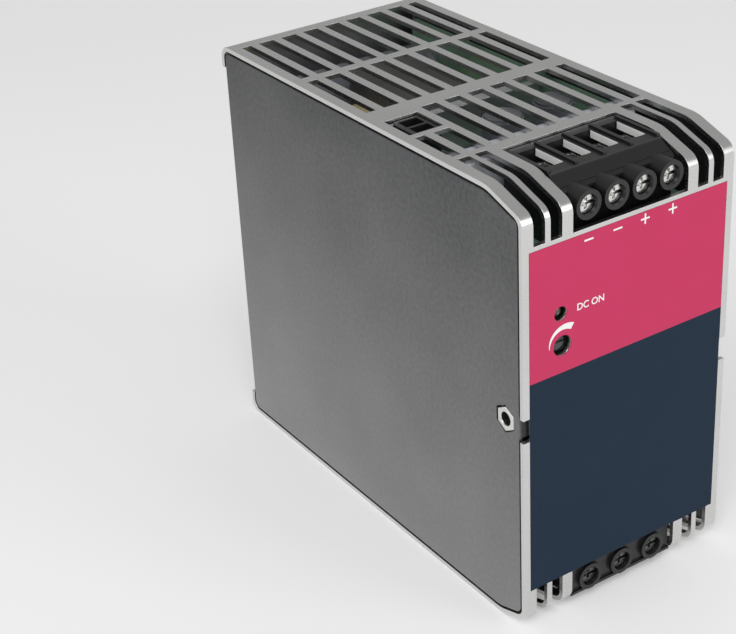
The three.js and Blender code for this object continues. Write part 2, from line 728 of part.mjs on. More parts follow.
function controlBoard() {
  const start = TRIMMER.setBack + TRIMMER.depth + FIT;
  const left = -halfWidth + NUT.thickness + CONTROL_BOARD.nutGap;
  const z = [trimmerAt[1] - CONTROL_BOARD.below, ledAt[1] + CONTROL_BOARD.above];
  return box([left, left + CONTROL_BOARD.width], [start, start + BOARD.thickness], z);
}

// A wound part stands against the main board in the middle of its bay; z is its core's middle.
// The core is a block with two windows, so that its middle leg is twice as thick as its outer ones.
function woundPart(size, z) {
  const length = bay[1] - bay[0] - size.spare;
  const x = mainFace - size.coil / 2 - FIT;
  return { ...size, x, y: (bay[0] + bay[1]) / 2, z, length, window: length / 5, offset: length / 4 };
}
const transformer = woundPart(TRANSFORMER, CASE.height - TRANSFORMER.down);
const choke = woundPart(CHOKE, CHOKE.up);

function ferriteCore(part) {
  const { x, y, z, thickness, length, height, offset } = part;
  const windowZ = around(z, part.windowHeight);
  const windows = [-offset, offset].map((shift) =>
    box(around(x, thickness + OVER), around(y + shift, part.window), windowZ),
  );
  return cut(box(around(x, thickness), around(y, length), around(z, height)), windows);
}

// The coil that fills those windows and stands out on both sides of the core.
function coil(part) {
  const { x, y } = part;
  const reachX = part.coil / 2;
  const reachY = part.offset + part.window / 2 - FIT;
  const corner = reachY / 4;
  const corners = [
    [x - reachX, y - reachY, corner],
    [x + reachX, y - reachY, corner],
    [x + reachX, y + reachY, corner],
    [x - reachX, y + reachY, corner],
  ];
  const z = around(part.z, part.windowHeight - 2 * FIT);
  const leg = 2 * part.offset - part.window + 2 * FIT;
  const hole = box(around(x, part.thickness + 2 * FIT), around(y, leg), [z[0] - OVER, z[1] + OVER]);
  return alongZ(roundedShape(corners), z).subtract(hole);
}

// A can capacitor lying along x from the main board, with a crimped groove near its leads.
function bulkCapacitor(down) {
  const { radius, groove } = BULK_CAN;
  const start = sinkX[1] + BULK_CAN.leftGap;
  const length = mainFace - start;
  const crimp = length - BULK_CAN.crimp;
  const waist = radius - groove;
  const points = [
    [0, 0],
    [waist, 0],
    [radius, groove],
    [radius, crimp],
    [waist, crimp + groove],
    [waist, crimp + 2 * groove],
    [radius, crimp + 3 * groove],
    [radius, length],
    [0, length],
  ].map(([r, h]) => new THREE.Vector2(r, h));
  const geometry = new THREE.LatheGeometry(points, 24);
  geometry.rotateZ(-Math.PI / 2);
  geometry.translate(start, bulkCanY, CASE.height - down);
  return solid(geometry);
}

// A can that stands on the output board; the first stands furthest left.
function outputCapacitor(index) {
  const can = OUTPUT_CAN;
  const x = mainFace - can.rightGap - (can.count - 1 - index) * can.pitch;
  const base = outputBoardTop + EPS;
  const top = base + can.height;
  const body = bar("z", can.radius, [base, top], [x, can.y], 24);
  return body.add(bar("z", can.radius - can.rim, [top - OVER / 2, top + can.rimHeight], [x, can.y], 24));
}

function ringCoil() {
  const ring = new THREE.TorusGeometry(RING.ring, RING.section, RING.sides, RING.sections);
  ring.rotateY(Math.PI / 2);
  ring.translate(mainFace - RING.boardGap, RING.y, ringZ);
  return solid(ring);
}

function lineFuse() {
  const at = [mainFace - FUSE.boardGap, FUSE.y];
  const z = [aboveRing, aboveRing + FUSE.length];
  const caps = [
    [z[0], z[0] + FUSE.capLength],
    [z[1] - FUSE.capLength, z[1]],
  ].map((span) => bar("z", FUSE.cap, span, at, 16));
  return union([bar("z", FUSE.radius, z, at, 16), ...caps]);
}

function outputHeatSink() {
  const sink = OUTPUT_SINK;
  const top = CASE.height - sink.topGap;
  const end = sink.start + sink.thickness;
  const plate = box([-halfWidth + sink.leftGap, mainFace], [sink.start, end], [outputSinkBottom, top]);
  const lipX = [mainFace - sink.lipGap - sink.lipWidth, mainFace - sink.lipGap];
  return plate.add(box(lipX, [sink.start, end + sink.lip], [top - sink.thickness, top]));
}

function inputHeatSink() {
  const y = [INPUT_SINK.start, rearInside - INPUT_SINK.rearGap];
  return box(sinkX, y, [INPUT_SINK.bottom, CASE.height - INPUT_SINK.topGap]);
}

// Clamped flat against the input heat sink's inner face.
function powerTransistor() {
  const x = [sinkX[1] + MOUNT_GAP, sinkX[1] + MOUNT_GAP + TRANSISTOR.thickness];
  const end = rearInside - INPUT_SINK.rearGap;
  const bottom = INPUT_SINK.bottom + TRANSISTOR.up;
  return box(x, [end - TRANSISTOR.width, end], [bottom, bottom + TRANSISTOR.height]);
}

// Clamped flat against the output heat sink's front face.
function outputRectifier() {
  const x = [mainFace - RECTIFIER.boardGap - RECTIFIER.width, mainFace - RECTIFIER.boardGap];
  const end = OUTPUT_SINK.start - MOUNT_GAP;
  const bottom = outputSinkBottom + RECTIFIER.up;
  return box(x, [end - RECTIFIER.depth, end], [bottom, bottom + RECTIFIER.height]);
}

// The pale moulded wall behind the output terminal, rounded on its rear top edge.
function terminalShroud() {
  const z = [outputBoardTop + EPS, CASE.height - SHROUD.top];
  const start = openingDepth + SHROUD.gap;
  const end = start + SHROUD.length;
  const outer = [
    [start, z[0], 0],
    [end, z[0], 0],
    [end, z[1], SHROUD.radius],
    [start, z[1], SHROUD.edge],
  ];
  const x = [-halfWidth + SHROUD.sideGap, mainX - SHROUD.boardGap];
  const hollowY = [start + SHROUD.wall, end - SHROUD.wall];
  const hollow = box([-halfWidth, halfWidth], hollowY, [z[0] - OVER, z[1] - SHROUD.radius]);
  return alongX(roundedShape(outer), x).subtract(hollow);
}

// ---------------------------------------------------------------- rail foot
const railLevel = CASE.height - RAIL.down;
const railTop = railLevel + RAIL.height / 2;
const railBottom = railLevel - RAIL.height / 2;
const footStart = rearPlateFace + EPS;
const footZ = [railLevel - FOOT.below, railLevel + FOOT.above];
const latchY = [footSeat - FIT - LATCH.thickness, footSeat - FIT];
const latchHookZ = [railBottom - FIT - LATCH.hook, railBottom - FIT];
const springSeat = railLevel - SPRING.below;
const footScrewPlaces = () => [-FOOT_SCREW.x, FOOT_SCREW.x].map((x) => [x, railLevel + FOOT_SCREW.above]);

// The foot plate with its two fixed hooks over the rail's upper edge and the channel that guides
// the latch, closed at the back by a strap that the latch's hook stops short of at full travel.
function dinFoot() {
  const plate = box(around(0, FOOT.width), [footStart, footSeat], footZ);
  const channelTop = railLevel + LATCH.above + FIT;
  const channelY = [latchY[0] - FIT, footSeat + OVER];
  const channel = box(around(0, LATCH.width + 2 * FIT), channelY, [footZ[0] - OVER, channelTop]);
  const strapZ = [footZ[0], latchHookZ[0] - LATCH.travel - FIT];
  const strapY = [footSeat - EPS, footSeat + FOOT.strapDepth];
  const strap = box(around(0, FOOT.width - FOOT.strapInset), strapY, strapZ);
  const tabZ = [springSeat - SPRING.tab, springSeat];
  const tab = box(around(0, SPRING.windowWidth - 2 * FIT), [footStart, footSeat - SPRING.tabStop], tabZ);
  const recessZ = [springSeat, springSeat + SPRING.length + 2 * FIT];
  const recess = box(around(0, SPRING.windowWidth - FIT), [footStart + SPRING.floor, footSeat], recessZ);
  return cut(union([cut(plate, [channel, recess]), railHooks(), strap, tab]), footScrewHoles());
}

function railHooks() {
  const x = around(0, FOOT.hookWidth);
  const top = railTop + FIT + FOOT.hookHeight;
  const arm = box(x, [footSeat - FOOT.hookRoot, totalDepth], [railTop + FIT, top]);
  const lip = box(x, [footSeat + RAIL.slot, totalDepth], [railTop - RAIL.lip, top]);
  const gapZ = [railTop - RAIL.lip - OVER, top + OVER];
  return arm.add(lip).subtract(box(around(0, FOOT.hookGap), [footSeat + EPS, totalDepth + OVER], gapZ));
}

function footScrewHoles() {
  const sunk = footSeat - FOOT_SCREW.headHeight - FIT;
  return footScrewPlaces().flatMap((at) => [
    bar("y", FOOT_SCREW.shank + FIT / 2, [footStart - OVER, footSeat], at, 16),
    bar("y", FOOT_SCREW.head + FIT, [sunk, totalDepth + OVER], at, 20),
  ]);
}

// The sliding latch: a flat bar with a hook for the rail's lower edge, a window for its spring
// and a screwdriver slot in the tongue that hangs below the foot.
function dinLatch() {
  const x = around(0, LATCH.width);
  const bottom = railLevel - LATCH.below;
  const blade = box(x, latchY, [bottom, railLevel + LATCH.above]);
  const arm = box(x, [latchY[0], totalDepth], latchHookZ);
  const lip = box(x, [footSeat + RAIL.slot, totalDepth], [latchHookZ[0], railBottom + RAIL.lip]);
  const windowZ = [springSeat - SPRING.tab - FIT, springSeat + SPRING.length + FIT];
  const window = box(around(0, SPRING.windowWidth), [latchY[0] - OVER, latchY[1] + FIT], windowZ);
  const keyZ = around(bottom + LATCH.keyUp, LATCH.keyHeight);
  const key = box(around(0, LATCH.keyWidth), [latchY[0] - OVER, latchY[1] + OVER], keyZ);
  return cut(union([blade, arm, lip]), [window, key]);
}

class Helix extends THREE.Curve {
  constructor(radius, turns, height) {
    super();
    this.radius = radius;
    this.turns = turns;
    this.height = height;
  }

  getPoint(t, target = new THREE.Vector3()) {
    const angle = 2 * Math.PI * this.turns * t;
    return target.set(this.radius * Math.cos(angle), this.radius * Math.sin(angle), this.height * t);
  }
}

function latchSpring() {
  const height = SPRING.length - 2 * SPRING.wire;
  const path = new Helix(SPRING.radius, SPRING.turns, height);
  const section = new THREE.Shape();
  section.absarc(0, 0, SPRING.wire / 2, 0, 2 * Math.PI, false);
  const wire = new THREE.ExtrudeGeometry(section, {
    steps: SPRING.turns * SPRING.stepsPerTurn,
    extrudePath: path,
    bevelEnabled: false,
    curveSegments: 3,
  });
  const middle = (latchY[0] + latchY[1]) / 2 - FIT / 2;
  wire.translate(0, middle, springSeat + SPRING.wire);
  return solid(wire);
}

function footScrew(at) {
  const head = [footSeat - FOOT_SCREW.headHeight, footSeat];
  const { shank, length, recess, recessWidth } = FOOT_SCREW;
  const stem = bar("y", shank, [head[1] - length, head[0] + OVER / 4], at, 16);
  const deep = [head[1] - FOOT_SCREW.recessDepth, head[1] + OVER];
  const cross = [
    box(around(at[0], recess), deep, around(at[1], recessWidth)),
    box(around(at[0], recessWidth), deep, around(at[1], recess)),
  ];
  return cut(bar("y", FOOT_SCREW.head, head, at, 20).add(stem), cross);
}

// ---------------------------------------------------------------- assembly
function caseGroup() {
  const group = new THREE.Group();
  for (const [name, part] of Object.entries(coverParts())) {
    group.add(mesh(name, part, FINISH.cover));
  }
  group.add(mesh("left_side_panel", sidePanel(-1), FINISH.panel));
  group.add(mesh("right_side_panel", sidePanel(1), FINISH.panel));
  group.add(mesh("left_clinch_nut", clinchNut(-1), FINISH.screw));
  group.add(mesh("right_clinch_nut", clinchNut(1), FINISH.screw));
  group.add(mesh("rear_plate", rearPlate(), FINISH.plate));
  group.add(mesh("front_label", frontLabel(), FINISH.label));
  return group;
}

function controlsGroup() {
  const group = new THREE.Group();
  group.add(mesh("signal_socket", signalSocket(), FINISH.terminal));
  group.add(mesh("status_led", statusLed(), FINISH.lens));
  group.add(mesh("trimmer_body", trimmerBody(), FINISH.sleeve));
  group.add(mesh("trimmer_rotor", trimmerRotor(), FINISH.ivory));
  group.add(mesh("control_board", controlBoard(), FINISH.board));
  return group;
}

function electronicsGroup() {
  const group = new THREE.Group();
  const outputZ = [outputBoardTop - BOARD.thickness, outputBoardTop];
  const inputZ = [inputBoardBottom, inputBoardBottom + BOARD.thickness];
  group.add(mesh("main_board", mainBoard(), FINISH.board));
  group.add(mesh("output_board", terminalBoard(OUTPUT, outputZ, BOARD.outputEnd), FINISH.board));
  group.add(mesh("input_board", terminalBoard(INPUT, inputZ, BOARD.inputEnd), FINISH.board));
  group.add(mesh("terminal_shroud", terminalShroud(), FINISH.ivory));
  group.add(mesh("transformer_core", ferriteCore(transformer), FINISH.ferrite));
  group.add(mesh("transformer_coil", coil(transformer), FINISH.tape));
  group.add(mesh("choke_core", ferriteCore(choke), FINISH.ferrite));
  group.add(mesh("choke_coil", coil(choke), FINISH.copper));
  BULK_CAN.down.forEach((down, i) => {
    group.add(mesh(`bulk_capacitor_${i + 1}`, bulkCapacitor(down), FINISH.sleeve));
  });
  for (let i = 0; i < OUTPUT_CAN.count; i += 1) {
    group.add(mesh(`output_capacitor_${i + 1}`, outputCapacitor(i), FINISH.sleeve));
  }
  group.add(mesh("output_heat_sink", outputHeatSink(), FINISH.aluminium));
  group.add(mesh("input_heat_sink", inputHeatSink(), FINISH.aluminium));
  group.add(mesh("power_transistor", powerTransistor(), FINISH.sleeve));
  group.add(mesh("output_rectifier", outputRectifier(), FINISH.sleeve));
  group.add(mesh("filter_choke", ringCoil(), FINISH.copper));
  group.add(mesh("line_fuse", lineFuse(), FINISH.glass));
  return group;
}

function railGroup() {
  const group = new THREE.Group();
  group.add(mesh("din_foot", dinFoot(), FINISH.plate));
  group.add(mesh("din_latch", dinLatch(), FINISH.spring));
  group.add(mesh("latch_spring", latchSpring(), FINISH.spring));
  footScrewPlaces().forEach((at, i) => {
    group.add(mesh(`foot_screw_${i + 1}`, footScrew(at), FINISH.screw));
  });
  return group;
}

const outputTerminal = terminalGroup("output", OUTPUT);
outputTerminal.position.z = CASE.height;
const inputTerminal = terminalGroup("input", INPUT);
inputTerminal.rotation.y = Math.PI;

const root = new THREE.Group();
root.add(caseGroup(), outputTerminal, inputTerminal, controlsGroup(), electronicsGroup(), railGroup());
root.position.y = -totalDepth / 2;
export default root;
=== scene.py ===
"""Looks of a rail-mounted power supply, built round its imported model.

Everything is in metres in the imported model's frame: the front faces -Y, the grey side panel that shows
faces -X, and the origin is the middle of the footprint on the underside.
"""

import json
import logging
import math
from dataclasses import dataclass
from enum import Enum
from typing import Any, Dict, Iterable, List, Sequence, Tuple

import bmesh
import bpy
import numpy as np
from mathutils import Matrix, Vector

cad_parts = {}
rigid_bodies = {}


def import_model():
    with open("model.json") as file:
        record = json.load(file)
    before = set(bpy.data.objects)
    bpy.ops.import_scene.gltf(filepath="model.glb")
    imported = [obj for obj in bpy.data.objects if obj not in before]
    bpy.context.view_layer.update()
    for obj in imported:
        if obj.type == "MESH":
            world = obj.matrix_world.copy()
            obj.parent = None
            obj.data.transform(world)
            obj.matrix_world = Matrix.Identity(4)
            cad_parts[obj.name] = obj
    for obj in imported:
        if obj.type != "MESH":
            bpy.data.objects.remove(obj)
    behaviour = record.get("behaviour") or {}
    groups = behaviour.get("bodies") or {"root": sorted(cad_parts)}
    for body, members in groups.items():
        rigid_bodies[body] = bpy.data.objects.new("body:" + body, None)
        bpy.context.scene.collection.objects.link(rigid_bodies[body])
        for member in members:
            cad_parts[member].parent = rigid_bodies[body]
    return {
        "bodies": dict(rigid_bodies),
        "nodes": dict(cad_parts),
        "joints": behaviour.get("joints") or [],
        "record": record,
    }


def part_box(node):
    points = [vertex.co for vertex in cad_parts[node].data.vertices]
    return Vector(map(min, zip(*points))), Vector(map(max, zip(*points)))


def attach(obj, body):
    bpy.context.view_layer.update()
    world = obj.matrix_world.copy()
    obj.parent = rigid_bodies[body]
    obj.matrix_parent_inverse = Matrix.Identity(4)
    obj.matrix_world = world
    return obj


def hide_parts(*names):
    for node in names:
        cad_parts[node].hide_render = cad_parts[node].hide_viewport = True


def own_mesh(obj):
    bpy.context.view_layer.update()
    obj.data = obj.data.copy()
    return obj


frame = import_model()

LOG = logging.getLogger("power_supply")
MM = 0.001
FRONT = -0.066
TOP = 0.110
HOUSING = "housing"
HAIR = 0.000004  # points closer than about this are one
FLAT = 0.6  # faces that turn by less than this, in degrees, are one

Colour = Tuple[float, float, float]
Span = Tuple[float, float]
Point = Tuple[float, float, float]


# ------------------------------------------------------------------ shader maths
class Term:
    """One shader value that adds its own maths nodes when it is used in an expression."""

    def __init__(self, graph: "ShaderGraph", socket: bpy.types.NodeSocket) -> None:
        """Wraps a socket.

        Args:
            graph: The graph that the socket belongs to.
            socket: The output that carries the value.
        """
        self.graph = graph
        self.socket = socket

    def _maths(self, operation: str, first: Any, second: Any) -> "Term":
        """Adds one Math node.

        Args:
            operation: The Math node's operation.
            first: The first value, a number or a Term.
            second: The second value, a number or a Term.

        Returns:
            The node's result.
        """
        return self.graph.node("ShaderNodeMath", {"operation": operation}, {0: first, 1: second})

    def __add__(self, other: Any) -> "Term":
        """Adds a value."""
        return self._maths("ADD", self, other)

    def __radd__(self, other: Any) -> "Term":
        """Adds this to a number."""
        return self._maths("ADD", other, self)

    def __sub__(self, other: Any) -> "Term":
        """Takes a value away."""
        return self._maths("SUBTRACT", self, other)

    def __rsub__(self, other: Any) -> "Term":
        """Takes this away from a number."""
        return self._maths("SUBTRACT", other, self)

    def __mul__(self, other: Any) -> "Term":
        """Multiplies by a value."""
        return self._maths("MULTIPLY", self, other)

    def __rmul__(self, other: Any) -> "Term":
        """Multiplies a number by this."""
        return self._maths("MULTIPLY", other, self)

    def __truediv__(self, other: Any) -> "Term":
        """Divides by a value."""
        return self._maths("DIVIDE", self, other)

    def __gt__(self, other: Any) -> "Term":
        """Gives 1 where this is the greater."""
        return self._maths("GREATER_THAN", self, other)


class ShaderGraph:
    """The node tree of one material."""

    def __init__(self, name: str) -> None:
        """Starts an empty material.

        Args:
            name: The material's name.
        """
        self.material = bpy.data.materials.new(name)
        self.material.use_nodes = True
        self.tree = self.material.node_tree
        self.tree.nodes.clear()

    def node(
        self, kind: str, settings: Dict[str, Any], sockets: Dict[Any, Any], output: Any = 0
    ) -> Term:
        """Adds one node.

        Args:
            kind: The node's type.
            settings: Its own settings, set first; "stops" gives a ramp's positions and colours.
            sockets: The value or Term of each input, by name or number.
            output: Which output to return.

        Returns:
            That output.
        """
        made = self.tree.nodes.new(kind)
        for key, value in settings.items():
            if key == "stops":
                self._set_stops(made.color_ramp, value)
            else:
                setattr(made, key, value)
        for key, value in sockets.items():
            if isinstance(value, Term):
                self.tree.links.new(value.socket, made.inputs[key])
            else:
                made.inputs[key].default_value = value
        return Term(self, made.outputs[output])

    @staticmethod
    def _set_stops(ramp: bpy.types.ColorRamp, stops: Sequence[Tuple[float, Colour]]) -> None:
        """Gives a ramp its stops.

        Args:
            ramp: The ramp, which starts with two stops.
            stops: Position and colour of each.
        """
        while len(ramp.elements) < len(stops):
            ramp.elements.new(1.0)
        for element, (position, colour) in zip(ramp.elements, stops):
            element.position = position
            element.color = (*colour, 1.0)

    def place(self) -> Term:
        """Returns the point on the object, in metres."""
        return self.node("ShaderNodeTexCoord", {}, {}, "Object")

    def axis(self, letter: str) -> Term:
        """Returns one coordinate of the point, in metres."""
        return self.node("ShaderNodeSeparateXYZ", {}, {0: self.place()}, letter)

    def noise(self, scale: Point, detail: float = 3.0) -> Term:
        """Adds a noise whose value runs from 0 to 1.

        Args:
            scale: Features per metre along each axis.
            detail: How many finer layers it has.

        Returns:
            The noise.
        """
        mapped = self.node("ShaderNodeMapping", {}, {"Vector": self.place(), "Scale": scale})
        return self.node("ShaderNodeTexNoise", {}, {"Vector": mapped, "Scale": 1.0, "Detail": detail})

    def ramp(self, factor: Term, stops: Sequence[Tuple[float, Colour]]) -> Term:
        """Turns a value into a colour.

        Args:
            factor: The value, from 0 to 1.
            stops: Position and colour of each stop.

        Returns:
            The colour.
        """
        return self.node("ShaderNodeValToRGB", {"stops": stops}, {0: factor})

    def mix(self, factor: Any, first: Any, second: Any) -> Term:
        """Mixes two colours.

        Args:
            factor: 0 for the first, 1 for the second.
            first: A colour or Term.
            second: A colour or Term.

        Returns:
            The mixed colour.
        """
        sockets = {0: factor, 6: self._colour(first), 7: self._colour(second)}
        return self.node("ShaderNodeMix", {"data_type": "RGBA"}, sockets, 2)

    @staticmethod
    def _colour(value: Any) -> Any:
        """Gives a plain colour its alpha and leaves a Term as it is."""
        return value if isinstance(value, Term) else (*value, 1.0)

    def bump(self, height: Term, depth: float) -> Term:
        """Turns a height into a normal.

        Args:
            height: From 0 to 1.
            depth: What a height of 1 is worth, in metres.

        Returns:
            The normal.
        """
        return self.node("ShaderNodeBump", {}, {"Height": height, "Distance": depth, "Strength": 1.0})

    def surface(self, sockets: Dict[str, Any]) -> None:
        """Ends the material in one principled shader.

        Args:
            sockets: The value or Term of each of its inputs.
        """
        values = {key: self._colour(v) if key == "Base Color" else v for key, v in sockets.items()}
        shader = self.node("ShaderNodeBsdfPrincipled", {}, values)
        self.node_output(shader)

    def node_output(self, shader: Term) -> None:
        """Links a shader to the material's output."""
        output = self.tree.nodes.new("ShaderNodeOutputMaterial")
        self.tree.links.new(shader.socket, output.inputs["Surface"])


def toned(colour: Colour, share: float) -> Colour:
    """Returns a colour made lighter or darker by a share."""
    return tuple(min(1.0, c * (1.0 + share)) for c in colour)


# ------------------------------------------------------------------ finishes
@dataclass(frozen=True)
class Finish:
    """A named surface finish, built once and shared."""

    name: str
    slot: str

    def make(self) -> bpy.types.Material:
        """Returns the material, building it the first time."""
        known = bpy.data.materials.get(self.name)
        if known is not None:
            return known
        graph = ShaderGraph(self.name)
        self.dress(graph)
        return graph.material

    def dress(self, graph: ShaderGraph) -> None:
        """Fills the material's graph."""
        raise NotImplementedError


@dataclass(frozen=True)
class SheetMetal(Finish):
    """Rolled, plated or turned metal with cloudy tone, fine lines and small specks."""

    colour: Colour = (0.6, 0.6, 0.6)
    roughness: float = 0.3
    cloud: float = 0.06
    cloud_scale: Point = (70.0, 70.0, 70.0)
    lines: Point = (400.0, 4000.0, 4000.0)
    line_depth: float = 0.000004
    metallic: float = 1.0

    def dress(self, graph: ShaderGraph) -> None:
        """Fills the material's graph."""
        cloud = graph.noise(self.cloud_scale)
        lines = graph.noise(self.lines, 2.0)
        specks = graph.noise((2600.0, 2600.0, 2600.0), 1.0)
        tone = 0.7 * cloud + 0.3 * specks
        dark, light = toned(self.colour, -self.cloud), toned(self.colour, self.cloud)
        base = graph.ramp(tone, [(0.3, dark), (0.7, light)])
        rough = self.roughness - 0.06 + 0.07 * lines + 0.05 * cloud
        normal = graph.bump(lines + 0.4 * specks, self.line_depth)
        graph.surface(
            {"Base Color": base, "Metallic": self.metallic, "Roughness": rough, "Normal": normal}
        )


@dataclass(frozen=True)
class PanelMetal(Finish):
    """Dark passivated panel: fine mottling and random patches over a painted gradient of reflected light and
    shade, dark at the top and lighter lower down.
    """

    dark: Colour = (0.05, 0.052, 0.055)
    light: Colour = (0.34, 0.34, 0.34)
    roughness: float = 0.38

    def dress(self, graph: ShaderGraph) -> None:
        """Fills the material's graph."""
        mottle = graph.noise((900.0, 900.0, 900.0), 4.0)
        patches = graph.noise((35.0, 35.0, 35.0), 2.0)
        # Painted light and shade: dark at the top, lighter lower down and darker again towards the bottom
        # front; only the patches are random tone.
        down = 1.0 - graph.axis("Z") / TOP
        across = (graph.axis("Y") - FRONT) / 0.124
        painted_gradient_and_patches = 0.15 + 0.75 * down - 0.18 * down * (1.0 - across) + 0.25 * (patches - 0.5)
        base = graph.ramp(painted_gradient_and_patches + 0.35 * (mottle - 0.5), [(0.0, self.dark), (1.0, self.light)])
        rough = self.roughness - 0.05 + 0.1 * mottle
        normal = graph.bump(mottle, 0.000012)
        graph.surface({"Base Color": base, "Metallic": 0.85, "Roughness": rough, "Normal": normal})


@dataclass(frozen=True)
class Moulding(Finish):
    """Moulded plastic with a spark-eroded grain and faint flow clouds."""

    colour: Colour = (0.02, 0.02, 0.02)
    roughness: float = 0.45
    cloud: float = 0.15
    grain: float = 0.000012
    coat: float = 0.0
    glow: float = 0.0

    def dress(self, graph: ShaderGraph) -> None:
        """Fills the material's graph."""
        cloud = graph.noise((120.0, 120.0, 120.0))
        grain = graph.noise((5200.0, 5200.0, 5200.0), 2.0)
        dark, light = toned(self.colour, -self.cloud), toned(self.colour, self.cloud)
        base = graph.ramp(0.6 * cloud + 0.4 * grain, [(0.3, dark), (0.7, light)])
        rough = self.roughness - 0.08 + 0.16 * grain
        graph.surface(
            {
                "Base Color": base,
                "Roughness": rough,
                "Normal": graph.bump(grain, self.grain),
                "Coat Weight": self.coat,
                "Emission Strength": self.glow,
                "Emission Color": (*self.colour, 1.0),
            }
        )


@dataclass(frozen=True)
class PrintedFilm(Finish):
    """The front label: two flat inks over a lightly pebbled film."""

    upper: Colour = (0.58, 0.042, 0.123)
    lower: Colour = (0.0105, 0.0245, 0.047)
    split: float = 0.0659
    gloss: float = 0.15

    def dress(self, graph: ShaderGraph) -> None:
        """Fills the material's graph."""
        pebble = graph.noise((3800.0, 3800.0, 3800.0), 2.0)
        cloud = graph.noise((90.0, 90.0, 90.0))
        above = graph.axis("Z") > self.split
        upper = graph.mix(cloud, toned(self.upper, -0.05), toned(self.upper, 0.05))
        lower = graph.mix(cloud, toned(self.lower, -0.12), toned(self.lower, 0.12))
        base = graph.mix(above, lower, upper)
        rough = 0.55 + 0.1 * pebble
        graph.surface(
            {
                "Base Color": base,
                "Roughness": rough,
                "Normal": graph.bump(pebble, 0.000006),
                "Specular IOR Level": self.gloss,
            }
        )


@dataclass(frozen=True)
class Banded(Finish):
    """Bands along one axis, for wound tape, a capacitor's stripe or a board's tracks."""

    first: Colour = (0.3, 0.2, 0.08)
    second: Colour = (0.4, 0.3, 0.12)
    axis: str = "Z"
    per_metre: float = 500.0
    share: float = 0.5
    roughness: float = 0.4
    metallic: float = 0.0
    depth: float = 0.00002

    def dress(self, graph: ShaderGraph) -> None:
        """Fills the material's graph."""
        wander = graph.noise((150.0, 150.0, 150.0))
        turns = graph.axis(self.axis) * self.per_metre + 0.5 * wander
        saw = graph.node("ShaderNodeMath", {"operation": "FRACT"}, {0: turns})
        band = saw > self.share
        cloud = graph.noise((300.0, 300.0, 300.0), 4.0)
        first = graph.mix(cloud, toned(self.first, -0.2), toned(self.first, 0.2))
        second = graph.mix(cloud, toned(self.second, -0.2), toned(self.second, 0.2))
        base = graph.mix(band, first, second)
        rough = self.roughness - 0.06 + 0.12 * cloud
        graph.surface(
            {
                "Base Color": base,
                "Metallic": self.metallic,
                "Roughness": rough,
                "Normal": graph.bump(saw, self.depth),
            }
        )


@dataclass(frozen=True)
class StageFloor(Finish):
    """The pale floor, with a barely seen change of tone."""

    colour: Colour = (0.9, 0.9, 0.9)
    glow: float = 0.18

    def dress(self, graph: ShaderGraph) -> None:
        """Fills the material's graph."""
        cloud = graph.noise((3.0, 3.0, 3.0))
        base = graph.mix(cloud, toned(self.colour, -0.01), toned(self.colour, 0.01))
        graph.surface(
            {
                "Base Color": base,
                "Roughness": 0.9 + 0.05 * cloud,
                "Emission Strength": self.glow,
                "Emission Color": (1.0, 1.0, 1.0, 1.0),
            }
        )


COVER = SheetMetal("satin_cover", "cover_metal", (0.66, 0.66, 0.65), 0.28, 0.05, line_depth=0.0000015)
PANEL = PanelMetal("mottled_panel", "panel_metal")
ZINC = SheetMetal("zinc_plate", "plated_steel", (0.56, 0.565, 0.57), 0.36, 0.14, (140.0, 140.0, 140.0))
BRIGHT = SheetMetal("bright_screw_steel", "bright_steel", (0.72, 0.72, 0.7), 0.2, 0.12, (500.0, 500.0, 500.0))
# Painted shade: the bright screw steel darkened for the lower terminal's screws.
DARKENED_SCREW_STEEL = SheetMetal("dull_screw_steel", "bright_steel", (0.16, 0.16, 0.16), 0.36, 0.2, (500.0, 500.0, 500.0))
# Painted highlight: a matte near-white sheet that stands for the lit bright steel at the side of each wire
# entry.
PAINTED_GLINT_SHEET = Moulding("painted_glint_sheet", "bright_steel", (0.97, 0.97, 0.96), 0.4, 0.02, 0.000003)
CLAMP = SheetMetal("clamp_steel", "bright_steel", (0.86, 0.86, 0.85), 0.28, 0.04)
SPRING = SheetMetal("spring_steel", "spring_steel", (0.5, 0.5, 0.51), 0.28, 0.1)
BRASS = SheetMetal("tinned_brass", "contact_brass", (0.66, 0.57, 0.36), 0.3, 0.12)
ALUMINIUM = SheetMetal("sink_aluminium", "sink_aluminium", (0.62, 0.63, 0.64), 0.38, 0.07)
COPPER = SheetMetal("enamelled_copper", "copper_wire", (0.55, 0.2, 0.07), 0.3, 0.15)
SOLDER = SheetMetal("solder", "bright_steel", (0.7, 0.7, 0.7), 0.3, 0.15, line_depth=0.00001)
LABEL = PrintedFilm("printed_label", "label_film")
INK = Moulding("white_ink", "label_film", (0.9, 0.9, 0.9), 0.5, 0.03, 0.000004)
BLACK = Moulding("black_terminal", "terminal_plastic", (0.008, 0.0083, 0.0087), 0.36, 0.2)
PALE = Moulding("pale_moulding", "pale_plastic", (0.6, 0.61, 0.66), 0.42, 0.06)
FERRITE = Moulding("ferrite", "ferrite", (0.028, 0.027, 0.027), 0.62, 0.3, 0.00004)
EPOXY = Moulding("package_epoxy", "package_epoxy", (0.02, 0.02, 0.021), 0.5, 0.2, 0.00002)
LENS = Moulding("lamp_lens", "led_lens", (0.05, 0.075, 0.05), 0.12, 0.1, 0.000001, 0.6)
GLASS = Moulding("fuse_tube", "fuse_glass", (0.6, 0.58, 0.5), 0.12, 0.06, 0.000002, 0.5)
SLEEVE = Banded("capacitor_sleeve", "capacitor_sleeve", (0.012, 0.013, 0.016), (0.2, 0.21, 0.22),
                "Y", 55.0, 0.86, 0.35, 0.0, 0.000002)
TAPE = Banded("coil_tape", "coil_tape", (0.42, 0.41, 0.36), (0.52, 0.5, 0.44), "Z", 160.0, 0.5, 0.35)
BOARD = Banded("board_laminate", "board_laminate", (0.006, 0.013, 0.009), (0.009, 0.02, 0.013),
               "Z", 330.0, 0.55, 0.4, 0.0, 0.00001)


